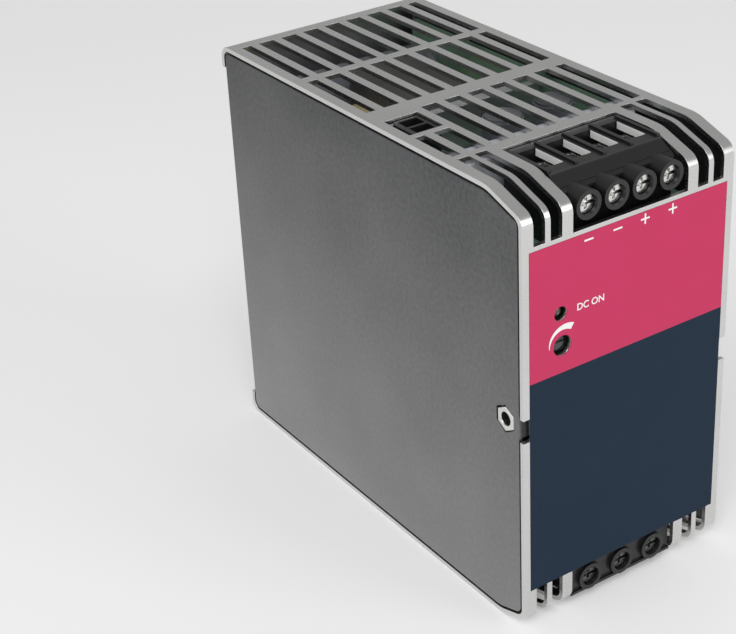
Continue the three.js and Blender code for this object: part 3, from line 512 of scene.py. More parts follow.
# ------------------------------------------------------------------ meshes
def linked(name: str, data: Any) -> bpy.types.Object:
    """Returns a new object that is already in the scene."""
    made = bpy.data.objects.new(name, data)
    bpy.context.scene.collection.objects.link(made)
    return made


class Workshop:
    """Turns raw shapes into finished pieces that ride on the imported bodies."""

    def __init__(self, loaded: Dict[str, Any]) -> None:
        """Reads which body holds each node.
        """
        self.nodes: Dict[str, bpy.types.Object] = loaded["nodes"]
        groups = loaded["record"]["behaviour"]["bodies"]
        self.body_of: Dict[str, str] = {n: body for body, members in groups.items() for n in members}

    @staticmethod
    def from_bmesh(name: str, shape: bmesh.types.BMesh) -> bpy.types.Object:
        """Turns an edit mesh into a linked object.

        Args:
            name: The object's name.
            shape: The mesh, which is used up.

        Returns:
            The object.
        """
        mesh = bpy.data.meshes.new(name)
        shape.to_mesh(mesh)
        shape.free()
        return linked(name, mesh)

    def copy_of(self, nodes: Sequence[str], name: str) -> bpy.types.Object:
        """Copies the meshes of nodes that meet face to face, with their flat faces made whole.

        Args:
            nodes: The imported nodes; each one after the first starts, along Y, at a shared joint.
            name: The new object's name.

        Returns:
            The new object.
        """
        shape = bmesh.new()
        for node in nodes:
            shape.from_mesh(self.nodes[node].data)
        for node in nodes[1:]:
            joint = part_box(node)[0].y
            inner = [f for f in shape.faces if all(abs(v.co.y - joint) < HAIR for v in f.verts)]
            bmesh.ops.delete(shape, geom=inner, context="FACES")
        bmesh.ops.remove_doubles(shape, verts=shape.verts, dist=HAIR / 2)
        for region in self.flat_regions(shape):
            self.split_at_holes(shape, region)
        bmesh.ops.dissolve_limit(
            shape,
            angle_limit=math.radians(FLAT),
            verts=shape.verts,
            edges=shape.edges,
            delimit={"SEAM"},
        )
        return self.from_bmesh(name, shape)

    @staticmethod
    def flat_regions(shape: bmesh.types.BMesh) -> List[List[bmesh.types.BMFace]]:
        """Groups the faces that touch and lie in one plane.

        Args:
            shape: The mesh, still in triangles.

        Returns:
            The groups.
        """
        shape.normal_update()
        seen = set()
        regions = []
        for seed in shape.faces:
            if seed in seen:
                continue
            seen.add(seed)
            region = [seed]
            for face in region:
                for other in (f for edge in face.edges for f in edge.link_faces):
                    if other not in seen and other.normal.angle(seed.normal, 3.0) < math.radians(FLAT):
                        seen.add(other)
                        region.append(other)
            regions.append(region)
        return regions

    @staticmethod
    def rims(region: Sequence[bmesh.types.BMFace]) -> List[List[Vector]]:
        """Finds the closed rims of a flat region.

        Args:
            region: Its faces.

        Returns:
            The points of each rim.
        """
        members = set(region)
        beside: Dict[Any, List[Any]] = {}
        for face in region:
            for edge in face.edges:
                if sum(f in members for f in edge.link_faces) == 1:
                    for vert in edge.verts:
                        beside.setdefault(vert, []).append(edge.other_vert(vert))
        found = []
        left = dict.fromkeys(beside)
        while left:
            rim = [next(iter(left))]
            left.pop(rim[0])
            for vert in rim:
                for other in beside[vert]:
                    if other in left:
                        left.pop(other)
                        rim.append(other)
            found.append([v.co.copy() for v in rim])
        return found

    @staticmethod
    def split_at_holes(shape: bmesh.types.BMesh, region: Sequence[bmesh.types.BMFace]) -> None:
        """Cuts a flat region through the middle of each of its holes, so that none stays ringed.

        Args:
            shape: The mesh.
            region: The region's faces.
        """
        rims = Workshop.rims(region)
        if len(rims) < 2:
            return
        normal = region[0].normal
        axis = 1 if abs(normal.x) > 0.7 else 0
        spans = [(min(p[axis] for p in rim), max(p[axis] for p in rim)) for rim in rims]
        outer = max(spans, key=lambda span: span[1] - span[0])
        middles = sorted({round(sum(span) / 2, 5) for span in spans if span is not outer})
        faces = list(region)
        geometry = [*faces, *{e: 0 for f in faces for e in f.edges}, *{v: 0 for f in faces for v in f.verts}]
        direction = Vector((0.0, 0.0, 0.0))
        direction[axis] = 1.0
        for middle in middles:
            made = bmesh.ops.bisect_plane(
                shape, geom=geometry, dist=HAIR / 20, plane_co=direction * middle, plane_no=direction
            )
            geometry = made["geom"]
            for edge in made["geom_cut"]:
                if isinstance(edge, bmesh.types.BMEdge):
                    edge.seam = True

    @staticmethod
    def soften(piece: bpy.types.Object, width: float, segments: int = 2, angle: float = 32.0) -> None:
        """Rounds a piece's sharp edges and shades the rest smoothly.

        Args:
            piece: The object, whose mesh is replaced by the finished one.
            width: How wide each rounded edge is, in metres.
            segments: How many strips make the rounding.
            angle: Edges sharper than this are rounded, in degrees.
        """
        piece.data.polygons.foreach_set("use_smooth", [True] * len(piece.data.polygons))
        bevel = piece.modifiers.new("edges", "BEVEL")
        bevel.width = width
        bevel.segments = segments
        bevel.limit_method = "ANGLE"
        bevel.angle_limit = math.radians(angle)
        bevel.use_clamp_overlap = True
        bevel.miter_outer = "MITER_ARC"
        shade = piece.modifiers.new("shade", "WEIGHTED_NORMAL")
        shade.weight = 80
        shade.keep_sharp = True
        Workshop.bake(piece)

    @staticmethod
    def bake(piece: bpy.types.Object) -> None:
        """Replaces a piece's mesh by the one its modifiers give, and removes them."""
        graph = bpy.context.evaluated_depsgraph_get()
        evaluated = piece.evaluated_get(graph)
        mesh = bpy.data.meshes.new_from_object(
            evaluated, preserve_all_data_layers=True, depsgraph=graph
        )
        piece.modifiers.clear()
        piece.data = mesh

    @staticmethod
    def paint(piece: bpy.types.Object, finish: Finish) -> None:
        """Gives a piece its one finish."""
        piece.data.materials.clear()
        piece.data.materials.append(finish.make())

    def stand_in(
        self, nodes: Any, finish: Finish, width: float, segments: int = 2, name: str = ""
    ) -> bpy.types.Object:
        """Makes the softened, finished piece that stands for one node or for some that meet.

        Args:
            nodes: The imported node, or several in a list.
            finish: Its finish.
            width: How wide its rounded edges are.
            segments: How many strips make them.
            name: The piece's name, or empty for one made from the node's.

        Returns:
            The piece.
        """
        nodes = [nodes] if isinstance(nodes, str) else nodes
        piece = self.copy_of(nodes, name or f"{nodes[0]}_piece")
        self.soften(piece, width, segments)
        self.paint(piece, finish)
        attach(piece, self.body_of[nodes[0]])
        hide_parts(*nodes)
        LOG.info("%s stands for %s", piece.name, ", ".join(nodes))
        return piece

    @staticmethod
    def shrink(piece: bpy.types.Object, by: Vector) -> None:
        """Pulls a piece in towards its own middle.

        Args:
            piece: The object.
            by: How much narrower it gets along each axis, in metres.
        """
        points = np.empty(len(piece.data.vertices) * 3)
        piece.data.vertices.foreach_get("co", points)
        points = points.reshape(-1, 3)
        low, high = points.min(0), points.max(0)
        middle, size = (low + high) / 2, high - low
        points = middle + (points - middle) * (1 - np.array(by) / size)
        piece.data.vertices.foreach_set("co", points.ravel())
        piece.data.update()

    def add(self, piece: bpy.types.Object, finish: Finish, body: str = HOUSING) -> bpy.types.Object:
        """Finishes an extra piece and seats it on a body.

        Args:
            piece: The object, already in place.
            finish: Its finish.
            body: The body that it rides on.

        Returns:
            The piece.
        """
        self.paint(piece, finish)
        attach(piece, body)
        LOG.info("%s added on %s", piece.name, body)
        return piece

    @staticmethod
    def block(name: str, x: Span, y: Span, z: Span) -> bpy.types.Object:
        """Makes a box from its three spans.

        Args:
            name: The object's name.
            x: From and to, in metres.
            y: From and to.
            z: From and to.

        Returns:
            The object.
        """
        shape = bmesh.new()
        size = Vector((x[1] - x[0], y[1] - y[0], z[1] - z[0]))
        centre = Vector((sum(x) / 2, sum(y) / 2, sum(z) / 2))
        matrix = Matrix.Translation(centre) @ Matrix.Diagonal((*size, 1.0))
        bmesh.ops.create_cube(shape, size=1.0, matrix=matrix)
        return Workshop.from_bmesh(name, shape)

    @staticmethod
    def plate(name: str, outline: Iterable[Tuple[float, float]], y: Span) -> bpy.types.Object:
        """Makes a flat plate that stands in the X-Z plane.

        Args:
            name: The object's name.
            outline: Its corners as x and z, anticlockwise seen from the front.
            y: From the front face to the back face.

        Returns:
            The object.
        """
        shape = bmesh.new()
        corners = [shape.verts.new((x, y[0], z)) for x, z in outline]
        face = shape.faces.new(corners)
        made = bmesh.ops.extrude_face_region(shape, geom=[face])
        moved = [v for v in made["geom"] if isinstance(v, bmesh.types.BMVert)]
        bmesh.ops.translate(shape, verts=moved, vec=(0.0, y[1] - y[0], 0.0))
        bmesh.ops.recalc_face_normals(shape, faces=shape.faces)
        return Workshop.from_bmesh(name, shape)


class Kind(Enum):
    """The kinds of input that a geometry tree can have."""

    LENGTH = "NodeSocketFloat"
    COUNT = "NodeSocketInt"
    PLACE = "NodeSocketVector"


class GeometryTree:
    """A Geometry Nodes tree with named inputs that ends in real, painted faces."""

    def __init__(self, name: str, inputs: Dict[str, Kind]) -> None:
        """Starts a tree.

        Args:
            name: The tree's name.
            inputs: The name and kind of each input.
        """
        self.tree = bpy.data.node_groups.new(name, "GeometryNodeTree")
        self.tree.is_modifier = True
        face = self.tree.interface
        face.new_socket("Geometry", in_out="OUTPUT", socket_type="NodeSocketGeometry")
        for key, kind in inputs.items():
            face.new_socket(key, in_out="INPUT", socket_type=kind.value)
        self.entry = self.tree.nodes.new("NodeGroupInput")
        self.keys = {
            item.name: item.identifier for item in face.items_tree if item.in_out == "INPUT"
        }

    def given(self, key: str) -> bpy.types.NodeSocket:
        """Returns the socket that carries a named input."""
        return self.entry.outputs[key]

    def node(
        self, kind: str, settings: Dict[str, Any], sockets: Dict[Any, Any], output: Any = 0
    ) -> bpy.types.NodeSocket:
        """Adds one node.

        Args:
            kind: The node's type.
            settings: Its own settings.
            sockets: The value or source socket of each input.
            output: Which output to return.

        Returns:
            That output.
        """
        made = self.tree.nodes.new(kind)
        for key, value in settings.items():
            setattr(made, key, value)
        for key, value in sockets.items():
            if isinstance(value, bpy.types.NodeSocket):
                self.tree.links.new(value, made.inputs[key])
            else:
                made.inputs[key].default_value = value
        return made.outputs[output]

    def close(self, geometry: bpy.types.NodeSocket, finish: Finish) -> None:
        """Ends the tree.

        Args:
            geometry: What it makes.
            finish: What it is painted with.
        """
        real = self.node("GeometryNodeRealizeInstances", {}, {"Geometry": geometry})
        painted = self.node(
            "GeometryNodeSetMaterial", {}, {"Geometry": real, "Material": finish.make()}
        )
        output = self.tree.nodes.new("NodeGroupOutput")
        self.tree.links.new(painted, output.inputs[0])

    def bake(self, name: str, values: Dict[str, Any], place: Matrix) -> bpy.types.Object:
        """Runs the tree once and keeps the result as a plain mesh.

        Args:
            name: The new object's name.
            values: The value of each named input.
            place: Where the result goes, in the model's frame.

        Returns:
            The object, at the origin.
        """
        piece = linked(name, bpy.data.meshes.new(name))
        modifier = piece.modifiers.new("tree", "NODES")
        modifier.node_group = self.tree
        for key, value in values.items():
            modifier[self.keys[key]] = value
        Workshop.bake(piece)
        piece.data.transform(place)
        piece.data.polygons.foreach_set("use_smooth", [True] * len(piece.data.polygons))
        return piece


class WireTree(GeometryTree):
    """A round wire that follows a curve built inside the tree."""

    def helix(self, steps: int, height: str) -> bpy.types.NodeSocket:
        """Draws a helix from the tree's Radius and Turns inputs.

        Args:
            steps: Points in each turn.
            height: The input that gives its height.

        Returns:
            The line.
        """
        radius = self.given("Radius")
        return self.node(
            "GeometryNodeCurveSpiral",
            {},
            {
                "Resolution": steps,
                "Rotations": self.given("Turns"),
                "Start Radius": radius,
                "End Radius": radius,
                "Height": self.given(height),
            },
        )

    def wire(self, curve: bpy.types.NodeSocket, radius: bpy.types.NodeSocket) -> bpy.types.NodeSocket:
        """Gives a curve a round section.

        Args:
            curve: The line that the wire follows.
            radius: The wire's radius.

        Returns:
            The wire's faces.
        """
        ring = self.node(
            "GeometryNodeCurvePrimitiveCircle", {}, {"Resolution": 8, "Radius": radius}, "Curve"
        )
        return self.node(
            "GeometryNodeCurveToMesh",
            {},
            {"Curve": curve, "Profile Curve": ring, "Fill Caps": True},
        )


# ------------------------------------------------------------------ case
@dataclass
class Case:
    """The wrap-round cover, its two side panels, rear plate and clinch nuts."""

    shop: Workshop
    cover_edge: float = 0.30 * MM
    panel_edge: float = 0.22 * MM
    panel_groove: float = 0.5 * MM
    ramp_columns: int = 7
    ramp_pitch: float = 6.68 * MM
    ramp_width: float = 4.35 * MM
    ramp_front: float = 60.8 * MM
    ramp_run: float = 1.3 * MM

    def build(self) -> None:
        """Makes every piece of the case."""
        parts = ["front_cover", "top_grille", "bottom_grille"]
        self.shop.stand_in(parts, COVER, self.cover_edge, 3, "wrapped_cover")
        for side in ("left", "right"):
            panel = self.shop.stand_in(f"{side}_side_panel", PANEL, self.panel_edge)
            self.shop.shrink(panel, Vector((0.0, self.panel_groove, self.panel_groove)))
        self.shop.stand_in("left_clinch_nut", BRIGHT, 0.25 * MM)
        self.shop.stand_in("right_clinch_nut", BRIGHT, 0.25 * MM)
        self.shop.stand_in("rear_plate", ZINC, 0.15 * MM)
        self.add_slot_ramps()

    def add_slot_ramps(self) -> None:
        """Adds the folded-down lead-in at the front end of each middle slot."""
        tree = GeometryTree("slot_ramps", {"Count": Kind.COUNT, "Pitch": Kind.PLACE, "Size": Kind.PLACE})
        line = tree.node(
            "GeometryNodeMeshLine", {}, {"Count": tree.given("Count"), "Offset": tree.given("Pitch")}
        )
        tongue = tree.node("GeometryNodeMeshCube", {}, {"Size": tree.given("Size")})
        turned = tree.node(
            "GeometryNodeTransform", {}, {"Geometry": tongue, "Rotation": (math.radians(-38), 0.0, 0.0)}
        )
        placed = tree.node("GeometryNodeInstanceOnPoints", {}, {"Points": line, "Instance": turned})
        tree.close(placed, COVER)
        start = Vector((
            -(self.ramp_columns - 1) / 2 * self.ramp_pitch,
            FRONT + self.ramp_front + self.ramp_run * 0.42,
            TOP - 0.62 * MM,
        ))
        ramps = tree.bake(
            "slot_ramps",
            {
                "Count": self.ramp_columns,
                "Pitch": (self.ramp_pitch, 0.0, 0.0),
                "Size": (self.ramp_width, self.ramp_run, 0.3 * MM),
            },
            Matrix.Translation(start),
        )
        ramps.data.polygons.foreach_set("use_smooth", [False] * len(ramps.data.polygons))
        self.shop.add(ramps, COVER)


# ------------------------------------------------------------------ front print
class Mark(Enum):
    """The signs printed under the output poles."""

    MINUS = "minus"
    PLUS = "plus"


@dataclass
class FrontPrint:
    """The two-colour label and the white signs on it."""

    shop: Workshop
    level: float = 96.0 * MM
    poles: Tuple[float, ...] = (-12.0 * MM, -3.9 * MM, 3.9 * MM, 11.9 * MM)
    signs: Tuple[Mark, ...] = (Mark.MINUS, Mark.MINUS, Mark.PLUS, Mark.PLUS)
    reach: float = 1.25 * MM
    stroke: float = 0.21 * MM
    proud: float = 0.03 * MM
    lamp: Tuple[float, float] = (-19.6 * MM, 80.6 * MM)
    pot: Tuple[float, float] = (-19.1 * MM, 72.6 * MM)
    arc_start: float = 178.0
    arc_sweep: float = 122.0
    arc_near: Span = (3.6 * MM, 0.45 * MM)
    arc_far: Span = (3.7 * MM, 2.0 * MM)
    legend_size: float = 2.35 * MM
    legend_weight: float = 0.035 * MM
    legend_place: Span = (4.4 * MM, -0.75 * MM)

    def build(self) -> None:
        """Makes the label and its print."""
        self.shop.stand_in("front_label", LABEL, 0.04 * MM, 1)
        for i, (x, sign) in enumerate(zip(self.poles, self.signs), start=1):
            self.add_sign(f"{sign.value}_sign_{i}", x, sign)
        self.add_arc()
        self.add_legend()

    def span(self) -> Span:
        """Returns the print's front and back, in metres along Y."""
        return (FRONT - self.proud, FRONT + 0.01 * MM)

    def add_sign(self, name: str, x: float, sign: Mark) -> None:
        """Prints one sign.

        Args:
            name: The piece's name.
            x: The sign's middle.
            sign: Which sign it is.
        """
        r, s, z = self.reach, self.stroke, self.level
        bar = [(x - r, z - s), (x + r, z - s), (x + r, z + s), (x - r, z + s)]
        cross = [
            (x - r, z - s), (x - s, z - s), (x - s, z - r), (x + s, z - r), (x + s, z - s),
            (x + r, z - s), (x + r, z + s), (x + s, z + s), (x + s, z + r), (x - s, z + r),
            (x - s, z + s), (x - r, z + s),
        ]
        outline = bar if sign is Mark.MINUS else cross
        self.shop.add(self.shop.plate(name, outline, self.span()), INK)

    def add_arc(self) -> None:
        """Prints the arc that swells clockwise round the adjuster's hole."""
        steps = 24
        inner: List[Tuple[float, float]] = []
        outer: List[Tuple[float, float]] = []
        for i in range(steps + 1):
            t = i / steps
            angle = math.radians(self.arc_start - self.arc_sweep * t)
            near, far = (start + growth * t for start, growth in (self.arc_near, self.arc_far))
            across, up = math.cos(angle), math.sin(angle)
            inner.append((self.pot[0] + near * across, self.pot[1] + near * up))
            outer.append((self.pot[0] + far * across, self.pot[1] + far * up))
        self.shop.add(self.shop.plate("adjuster_arc", inner + outer[::-1], self.span()), INK)

    def add_legend(self) -> None:
        """Prints the lamp's plain function legend beside its hole."""
        curve = bpy.data.curves.new("lamp_legend", "FONT")
        curve.body = "DC ON"
        curve.size = self.legend_size
        curve.extrude = self.proud / 2
        curve.offset = self.legend_weight
        text = linked("lamp_legend_line", curve)
        graph = bpy.context.evaluated_depsgraph_get()
        mesh = bpy.data.meshes.new_from_object(text.evaluated_get(graph), depsgraph=graph)
        bpy.data.objects.remove(text)
        x, z = (at + by for at, by in zip(self.lamp, self.legend_place))
        place = Vector((x, FRONT - self.proud / 2, z))
        mesh.transform(Matrix.Translation(place) @ Matrix.Rotation(math.radians(90), 4, "X"))
        self.shop.add(linked("lamp_legend", mesh), INK)


# ------------------------------------------------------------------ terminals
@dataclass
class TerminalStrip:
    """One screw terminal: its moulding, and a screw, a clamp cage and a contact for each pole."""

    shop: Workshop
    side: str
    poles: int
    glint_sheet_top: float
    screw_finish: Finish
    # The painted-highlight sheet at each wire entry: its thickness, depth, offset from the cage's middle and
    # run.
    glint_sheet_wall: float = 0.12 * MM
    glint_sheet_depth: float = 1.7 * MM
    liner_side: float = 2.44 * MM
    glint_sheet_run: Span = (FRONT + 11.9 * MM, FRONT + 21.1 * MM)
    strip_run: Span = (FRONT + 5.42 * MM, FRONT + 5.72 * MM)
    strip_rise: Span = (TOP - 3.17 * MM, TOP - 3.02 * MM)
    head: float = 2.4 * MM
    tip: float = 0.3 * MM
    pitch: float = 0.5 * MM
    thread_radius: float = 1.46 * MM
    ridge: float = 0.12 * MM

    def build(self) -> None:
        """Makes every piece of the terminal."""
        self.shop.stand_in(f"{self.side}_terminal_body", BLACK, 0.18 * MM)
        thread = self.thread_tree()
        if self.side == "output":
            self.add_slope_strip()
        for pole in range(1, self.poles + 1):
            screw = f"{self.side}_screw_{pole}"
            self.shop.stand_in(screw, self.screw_finish, 0.12 * MM)
            self.shop.stand_in(f"{self.side}_cage_{pole}", CLAMP, 0.14 * MM)
            self.shop.stand_in(f"{self.side}_contact_{pole}", BRASS, 0.12 * MM)
            self.add_thread(thread, screw)
            self.add_glint_sheet(pole)

    def add_slope_strip(self) -> None:
        """Adds the strip along the foot of the slope above the bosses."""
        low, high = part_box("output_terminal_body")
        strip = self.shop.block("slope_foot_strip", (low.x, high.x), self.strip_run, self.strip_rise)
        self.shop.add(strip, BLACK)

    def thread_tree(self) -> WireTree:
        """Returns the tree that winds a thread round a shank."""
        tree = WireTree(
            f"{self.side}_thread",
            {"Radius": Kind.LENGTH, "Length": Kind.LENGTH, "Turns": Kind.LENGTH, "Ridge": Kind.LENGTH},
        )
        tree.close(tree.wire(tree.helix(18, "Length"), tree.given("Ridge")), BRIGHT)
        return tree

    def add_thread(self, tree: WireTree, screw: str) -> None:
        """Winds the thread on one screw's shank.

        Args:
            tree: The tree that winds it.
            screw: The screw's node.
        """
        low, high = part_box(screw)
        start = low.y + self.head
        length = high.y - self.tip - start
        middle = (low + high) / 2
        place = Matrix.Translation((middle.x, start, middle.z)) @ Matrix.Rotation(
            math.radians(-90), 4, "X"
        )
        values = {
            "Radius": self.thread_radius,
            "Length": length,
            "Turns": length / self.pitch,
            "Ridge": self.ridge,
        }
        wound = tree.bake(f"{screw}_thread", values, place)
        self.shop.add(wound, BRIGHT, self.shop.body_of[screw])

    def add_glint_sheet(self, pole: int) -> None:
        """Adds the near-white sheet at one side of a wire entry: a painted highlight standing for the lit
        metal wall.

        Args:
            pole: Which pole.
        """
        low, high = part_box(f"{self.side}_cage_{pole}")
        facing = 1.0 if self.side == "output" else -1.0
        wall = (low.x + high.x) / 2 + facing * self.liner_side
        x = tuple(sorted((wall, wall - facing * self.glint_sheet_wall)))
        z = tuple(sorted((self.glint_sheet_top, self.glint_sheet_top - facing * self.glint_sheet_depth)))
        self.shop.add(self.shop.block(f"{self.side}_entry_glint_sheet_{pole}", x, self.glint_sheet_run, z), PAINTED_GLINT_SHEET)


# ------------------------------------------------------------------ controls
@dataclass
class Controls:
    """The small socket, the lamp and the adjuster."""

    shop: Workshop

    def build(self) -> None:
        """Makes every piece of the controls."""
        self.shop.stand_in("signal_socket", BLACK, 0.15 * MM)
        self.shop.stand_in("status_led", LENS, 0.05 * MM)
        self.shop.stand_in("trimmer_body", EPOXY, 0.15 * MM)
        self.shop.stand_in("trimmer_rotor", EPOXY, 0.08 * MM)
        self.shop.stand_in("control_board", BOARD, 0.05 * MM, 1)


# ------------------------------------------------------------------ electronics
@dataclass
class Electronics:
    """Boards, wound parts, capacitors and heat sinks that show through the grilles."""

    shop: Workshop
    plain: Tuple[Tuple[Finish, float, str], ...] = (
        (BOARD, 0.05 * MM, "main_board output_board input_board"),
        (PALE, 0.3 * MM, "terminal_shroud"),
        (FERRITE, 0.35 * MM, "transformer_core"),
        (TAPE, 0.4 * MM, "transformer_coil"),
        (FERRITE, 0.35 * MM, "choke_core"),
        (SLEEVE, 0.2 * MM, "bulk_capacitor_1 bulk_capacitor_2 output_capacitor_1 output_capacitor_2"),
        (ALUMINIUM, 0.2 * MM, "output_heat_sink input_heat_sink"),
        (EPOXY, 0.3 * MM, "power_transistor output_rectifier"),
        (GLASS, 0.15 * MM, "line_fuse"),
    )
    choke_wire: float = 0.55 * MM
    ring_radius: float = 9.2 * MM
    ring_loop: float = 3.7 * MM
    ring_turns: int = 34
    ring_wire: float = 0.45 * MM
    ring_inset: float = 1.9 * MM
    solder_margin: float = 8 * MM
    solder_density: float = 26000.0
    solder_seed: int = 11

    def build(self) -> None:
        """Makes every inner piece."""
        for finish, width, nodes in self.plain:
            for node in nodes.split():
                self.shop.stand_in(node, finish, width)
        self.wind_choke()
        self.wind_ring()
        self.add_solder()

    def wind_choke(self) -> None:
        """Winds the choke's coil as stacked turns of round wire."""
        low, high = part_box("choke_coil")
        tree = WireTree(
            "stacked_turns",
            {"Across": Kind.LENGTH, "Along": Kind.LENGTH, "Turns": Kind.COUNT, "Step": Kind.PLACE,
             "Wire": Kind.LENGTH},
        )
        loop = tree.node(
            "GeometryNodeCurvePrimitiveQuadrilateral",
            {},
            {"Width": tree.given("Across"), "Height": tree.given("Along")},
        )
        rounded = tree.node(
            "GeometryNodeFilletCurve", {"mode": "POLY"}, {"Curve": loop, "Radius": 3 * MM, "Count": 5}
        )
        turn = tree.wire(rounded, tree.given("Wire"))
        line = tree.node(
            "GeometryNodeMeshLine", {}, {"Count": tree.given("Turns"), "Offset": tree.given("Step")}
        )
        stack = tree.node("GeometryNodeInstanceOnPoints", {}, {"Points": line, "Instance": turn})
        tree.close(stack, COPPER)
        wire, middle = self.choke_wire, (low + high) / 2
        turns = int((high.z - low.z - 2 * wire) / (2 * wire)) + 1
        values = {
            "Across": high.x - low.x - 2 * wire,
            "Along": high.y - low.y - 2 * wire,
            "Turns": turns,
            "Step": (0.0, 0.0, 2 * wire),
            "Wire": wire,
        }
        place = Matrix.Translation((middle.x, middle.y, low.z + wire))
        coil = tree.bake("choke_winding", values, place)
        self.shop.add(coil, COPPER)
        former = self.shop.stand_in("choke_coil", TAPE, 0.3 * MM)
        self.shop.shrink(former, Vector((2.4 * wire, 2.4 * wire, 0.0)))

    def wind_ring(self) -> None:
        """Winds the ring choke: a ferrite ring inside turns of wire."""
        low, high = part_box("filter_choke")
        middle = (low + high) / 2
        tree = WireTree(
            "ring_turns", {"Ring": Kind.LENGTH, "Loop": Kind.LENGTH, "Turns": Kind.COUNT, "Wire": Kind.LENGTH}
        )
        ring = tree.node(
            "GeometryNodeCurvePrimitiveCircle", {}, {"Resolution": 64, "Radius": tree.given("Ring")}, "Curve"
        )
        spots = tree.tree.nodes.new("GeometryNodeCurveToPoints")
        spots.mode = "COUNT"
        tree.tree.links.new(ring, spots.inputs["Curve"])
        tree.tree.links.new(tree.given("Turns"), spots.inputs["Count"])
        loop = tree.node(
            "GeometryNodeCurvePrimitiveCircle", {}, {"Resolution": 20, "Radius": tree.given("Loop")}, "Curve"
        )
        turn = tree.wire(loop, tree.given("Wire"))
        wound = tree.node(
            "GeometryNodeInstanceOnPoints",
            {},
            {"Points": spots.outputs["Points"], "Instance": turn, "Rotation": spots.outputs["Rotation"]},
        )
        tree.close(wound, COPPER)
        values = {
            "Ring": self.ring_radius,
            "Loop": self.ring_loop,
            "Turns": self.ring_turns,
            "Wire": self.ring_wire,
        }
        place = Matrix.Translation(middle) @ Matrix.Rotation(math.radians(90), 4, "Y")
        self.shop.add(tree.bake("ring_choke_winding", values, place), COPPER)
        core = self.shop.stand_in("filter_choke", FERRITE, 0.05 * MM, 1)
        self.shop.shrink(core, Vector([self.ring_inset] * 3))

    def add_solder(self) -> None:
        """Scatters solder joints over the main board's far face, with a fixed seed."""
        low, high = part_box("main_board")
        tree = GeometryTree(
            "solder_joints",
            {"Deep": Kind.LENGTH, "Tall": Kind.LENGTH, "Per Area": Kind.LENGTH, "Seed": Kind.COUNT},
        )
        sheet = tree.node(
            "GeometryNodeMeshGrid",
            {},
            {"Size X": tree.given("Deep"), "Size Y": tree.given("Tall"), "Vertices X": 2, "Vertices Y": 2},
        )
        spots = tree.node(
            "GeometryNodeDistributePointsOnFaces",
            {"distribute_method": "RANDOM"},
            {"Mesh": sheet, "Density": tree.given("Per Area"), "Seed": tree.given("Seed")},
        )
        blob = tree.node(
            "GeometryNodeMeshCone",
            {"fill_type": "NGON"},
            {"Vertices": 8, "Radius Top": 0.35 * MM, "Radius Bottom": 1.0 * MM, "Depth": 0.7 * MM},
        )
        joints = tree.node("GeometryNodeInstanceOnPoints", {}, {"Points": spots, "Instance": blob})
        tree.close(joints, SOLDER)
        values = {
            "Deep": high.z - low.z - self.solder_margin,
            "Tall": high.y - low.y - self.solder_margin,
            "Per Area": self.solder_density,
            "Seed": self.solder_seed,
        }
        middle = (low + high) / 2
        place = Matrix.Translation((high.x, middle.y, middle.z)) @ Matrix.Rotation(
            math.radians(90), 4, "Y"
        )
        self.shop.add(tree.bake("main_board_solder", values, place), SOLDER)


# ------------------------------------------------------------------ rail clip
@dataclass
class RailClip:
    """The rail foot with its screws, and the sprung latch."""

    shop: Workshop
    wire: float = 0.22 * MM
    radius: float = 1.35 * MM
    turns: float = 7.0
    keep: float = 0.5

    def build(self) -> None:
        """Makes every piece of the clip."""
        self.shop.stand_in("din_foot", ZINC, 0.2 * MM)
        self.shop.stand_in("din_latch", SPRING, 0.2 * MM)
        self.shop.stand_in("foot_screw_1", BRIGHT, 0.15 * MM)
        self.shop.stand_in("foot_screw_2", BRIGHT, 0.15 * MM)
        self.wind_spring()

    def wind_spring(self) -> None:
        """Winds the latch spring at its full length."""
        low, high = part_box("latch_spring")
        middle = (low + high) / 2
        tree = WireTree(
            "latch_spring_turns",
            {"Radius": Kind.LENGTH, "Height": Kind.LENGTH, "Turns": Kind.LENGTH, "Wire": Kind.LENGTH},
        )
        tree.close(tree.wire(tree.helix(24, "Height"), tree.given("Wire")), SPRING)
        values = {
            "Radius": self.radius,
            "Height": high.z - low.z - 2 * self.wire,
            "Turns": self.turns,
            "Wire": self.wire,
        }
        place = Matrix.Translation((middle.x, middle.y, low.z + self.wire))
        spring = tree.bake("latch_spring_coil", values, place)
        self.shop.add(spring, SPRING)
        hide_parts("latch_spring")
        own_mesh(spring)


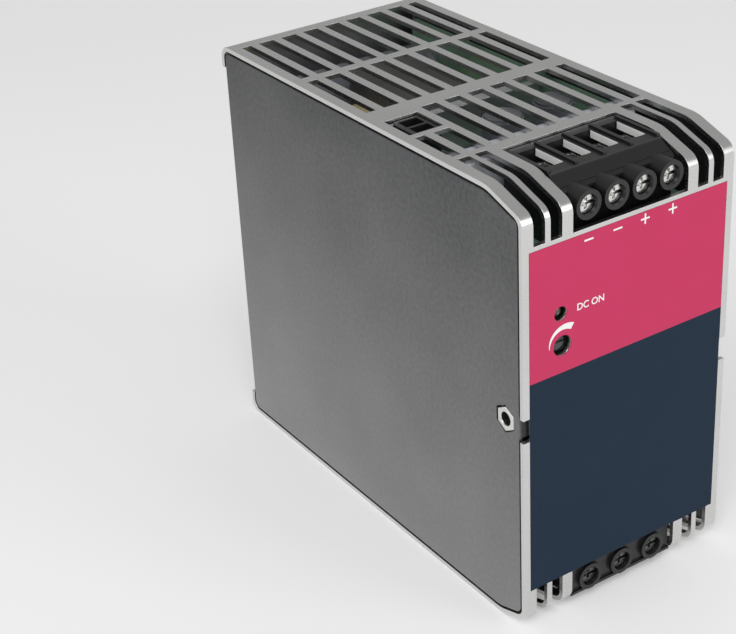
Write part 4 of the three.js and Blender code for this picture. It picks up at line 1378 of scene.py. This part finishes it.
# ------------------------------------------------------------------ studio
@dataclass
class Studio:
    """The pale floor, the soft lights and the camera."""

    eye: Point = (-0.22686, -0.31521, 0.26034)
    ahead: Point = (0.47933, 0.75199, -0.45249)
    right: Point = (0.82895, -0.55726, -0.048)
    lens: float = 84.2
    shift_right: float = 0.002
    shift_up: float = 0.084
    floor_reach: float = 6.0
    room_light: float = 0.43
    lights: Tuple[Tuple[str, Point, Point, float, float], ...] = (
        ("key", (-0.55, -0.65, 0.95), (0.0, 0.0, 0.05), 0.7, 6.0),
        ("side_fill", (-1.1, 0.1, 0.12), (0.0, 0.0, 0.02), 0.5, 1.6),
        ("front_fill", (0.55, -1.1, 0.5), (0.0, 0.0, 0.06), 0.6, 3.0),
    )

    def build(self) -> None:
        """Makes everything that isn't part of the object."""
        self.lay_floor()
        self.light_room()
        for light in self.lights:
            self.add_light(*light)
        self.aim_camera()

    def lay_floor(self) -> None:
        """Lays a wide floor under the object."""
        shape = bmesh.new()
        bmesh.ops.create_grid(shape, x_segments=1, y_segments=1, size=self.floor_reach)
        floor = Workshop.from_bmesh("studio_floor", shape)
        floor.data.materials.append(StageFloor("studio_floor", "").make())

    def light_room(self) -> None:
        """Gives the room an even pale light."""
        world = bpy.data.worlds.new("studio")
        world.use_nodes = True
        back = world.node_tree.nodes["Background"]
        back.inputs["Color"].default_value = (1.0, 1.0, 1.0, 1.0)
        back.inputs["Strength"].default_value = self.room_light
        bpy.context.scene.world = world
        bpy.context.scene.view_settings.view_transform = "Standard"

    @staticmethod
    def add_light(name: str, place: Point, target: Point, size: float, power: float) -> None:
        """Hangs one soft box.

        Args:
            name: The light's name.
            place: Where it hangs.
            target: What it points at.
            size: Its width and height.
            power: Its power in watts.
        """
        data = bpy.data.lights.new(name, "AREA")
        data.shape = "SQUARE"
        data.size = size
        data.energy = power
        lamp = linked(name, data)
        lamp.location = place
        lamp.rotation_euler = (Vector(target) - Vector(place)).to_track_quat("-Z", "Y").to_euler()

    def aim_camera(self) -> None:
        """Sets up the camera from its place and its two directions."""
        ahead = Vector(self.ahead).normalized()
        right = (Vector(self.right) - Vector(self.right).dot(ahead) * ahead).normalized()
        up = right.cross(ahead)
        turned = Matrix((right, up, -ahead)).transposed().to_4x4()
        data = bpy.data.cameras.new("camera")
        data.lens = self.lens
        data.sensor_width = 36.0
        data.shift_x, data.shift_y = self.shift_right, -self.shift_up
        data.clip_start, data.clip_end = 0.01, 30.0
        camera = linked("camera", data)
        camera.matrix_world = Matrix.Translation(self.eye) @ turned
        bpy.context.scene.camera = camera


def main() -> None:
    """Builds the object and its studio, piece by piece."""
    logging.basicConfig(level=logging.INFO, format="%(name)s: %(message)s")
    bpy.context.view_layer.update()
    shop = Workshop(frame)
    Studio().build()
    assemblies: List[Any] = [
        Case(shop),
        FrontPrint(shop),
        TerminalStrip(shop, "output", 4, TOP - 0.78 * MM, BRIGHT),
        # The lower terminal's screws take the darkened steel: painted shade.
        TerminalStrip(shop, "input", 3, 0.78 * MM, DARKENED_SCREW_STEEL),
        Controls(shop),
        Electronics(shop),
        RailClip(shop),
    ]
    for assembly in assemblies:
        LOG.info("building %s", type(assembly).__name__)
        assembly.build()


if __name__ == "__main__":
    main()
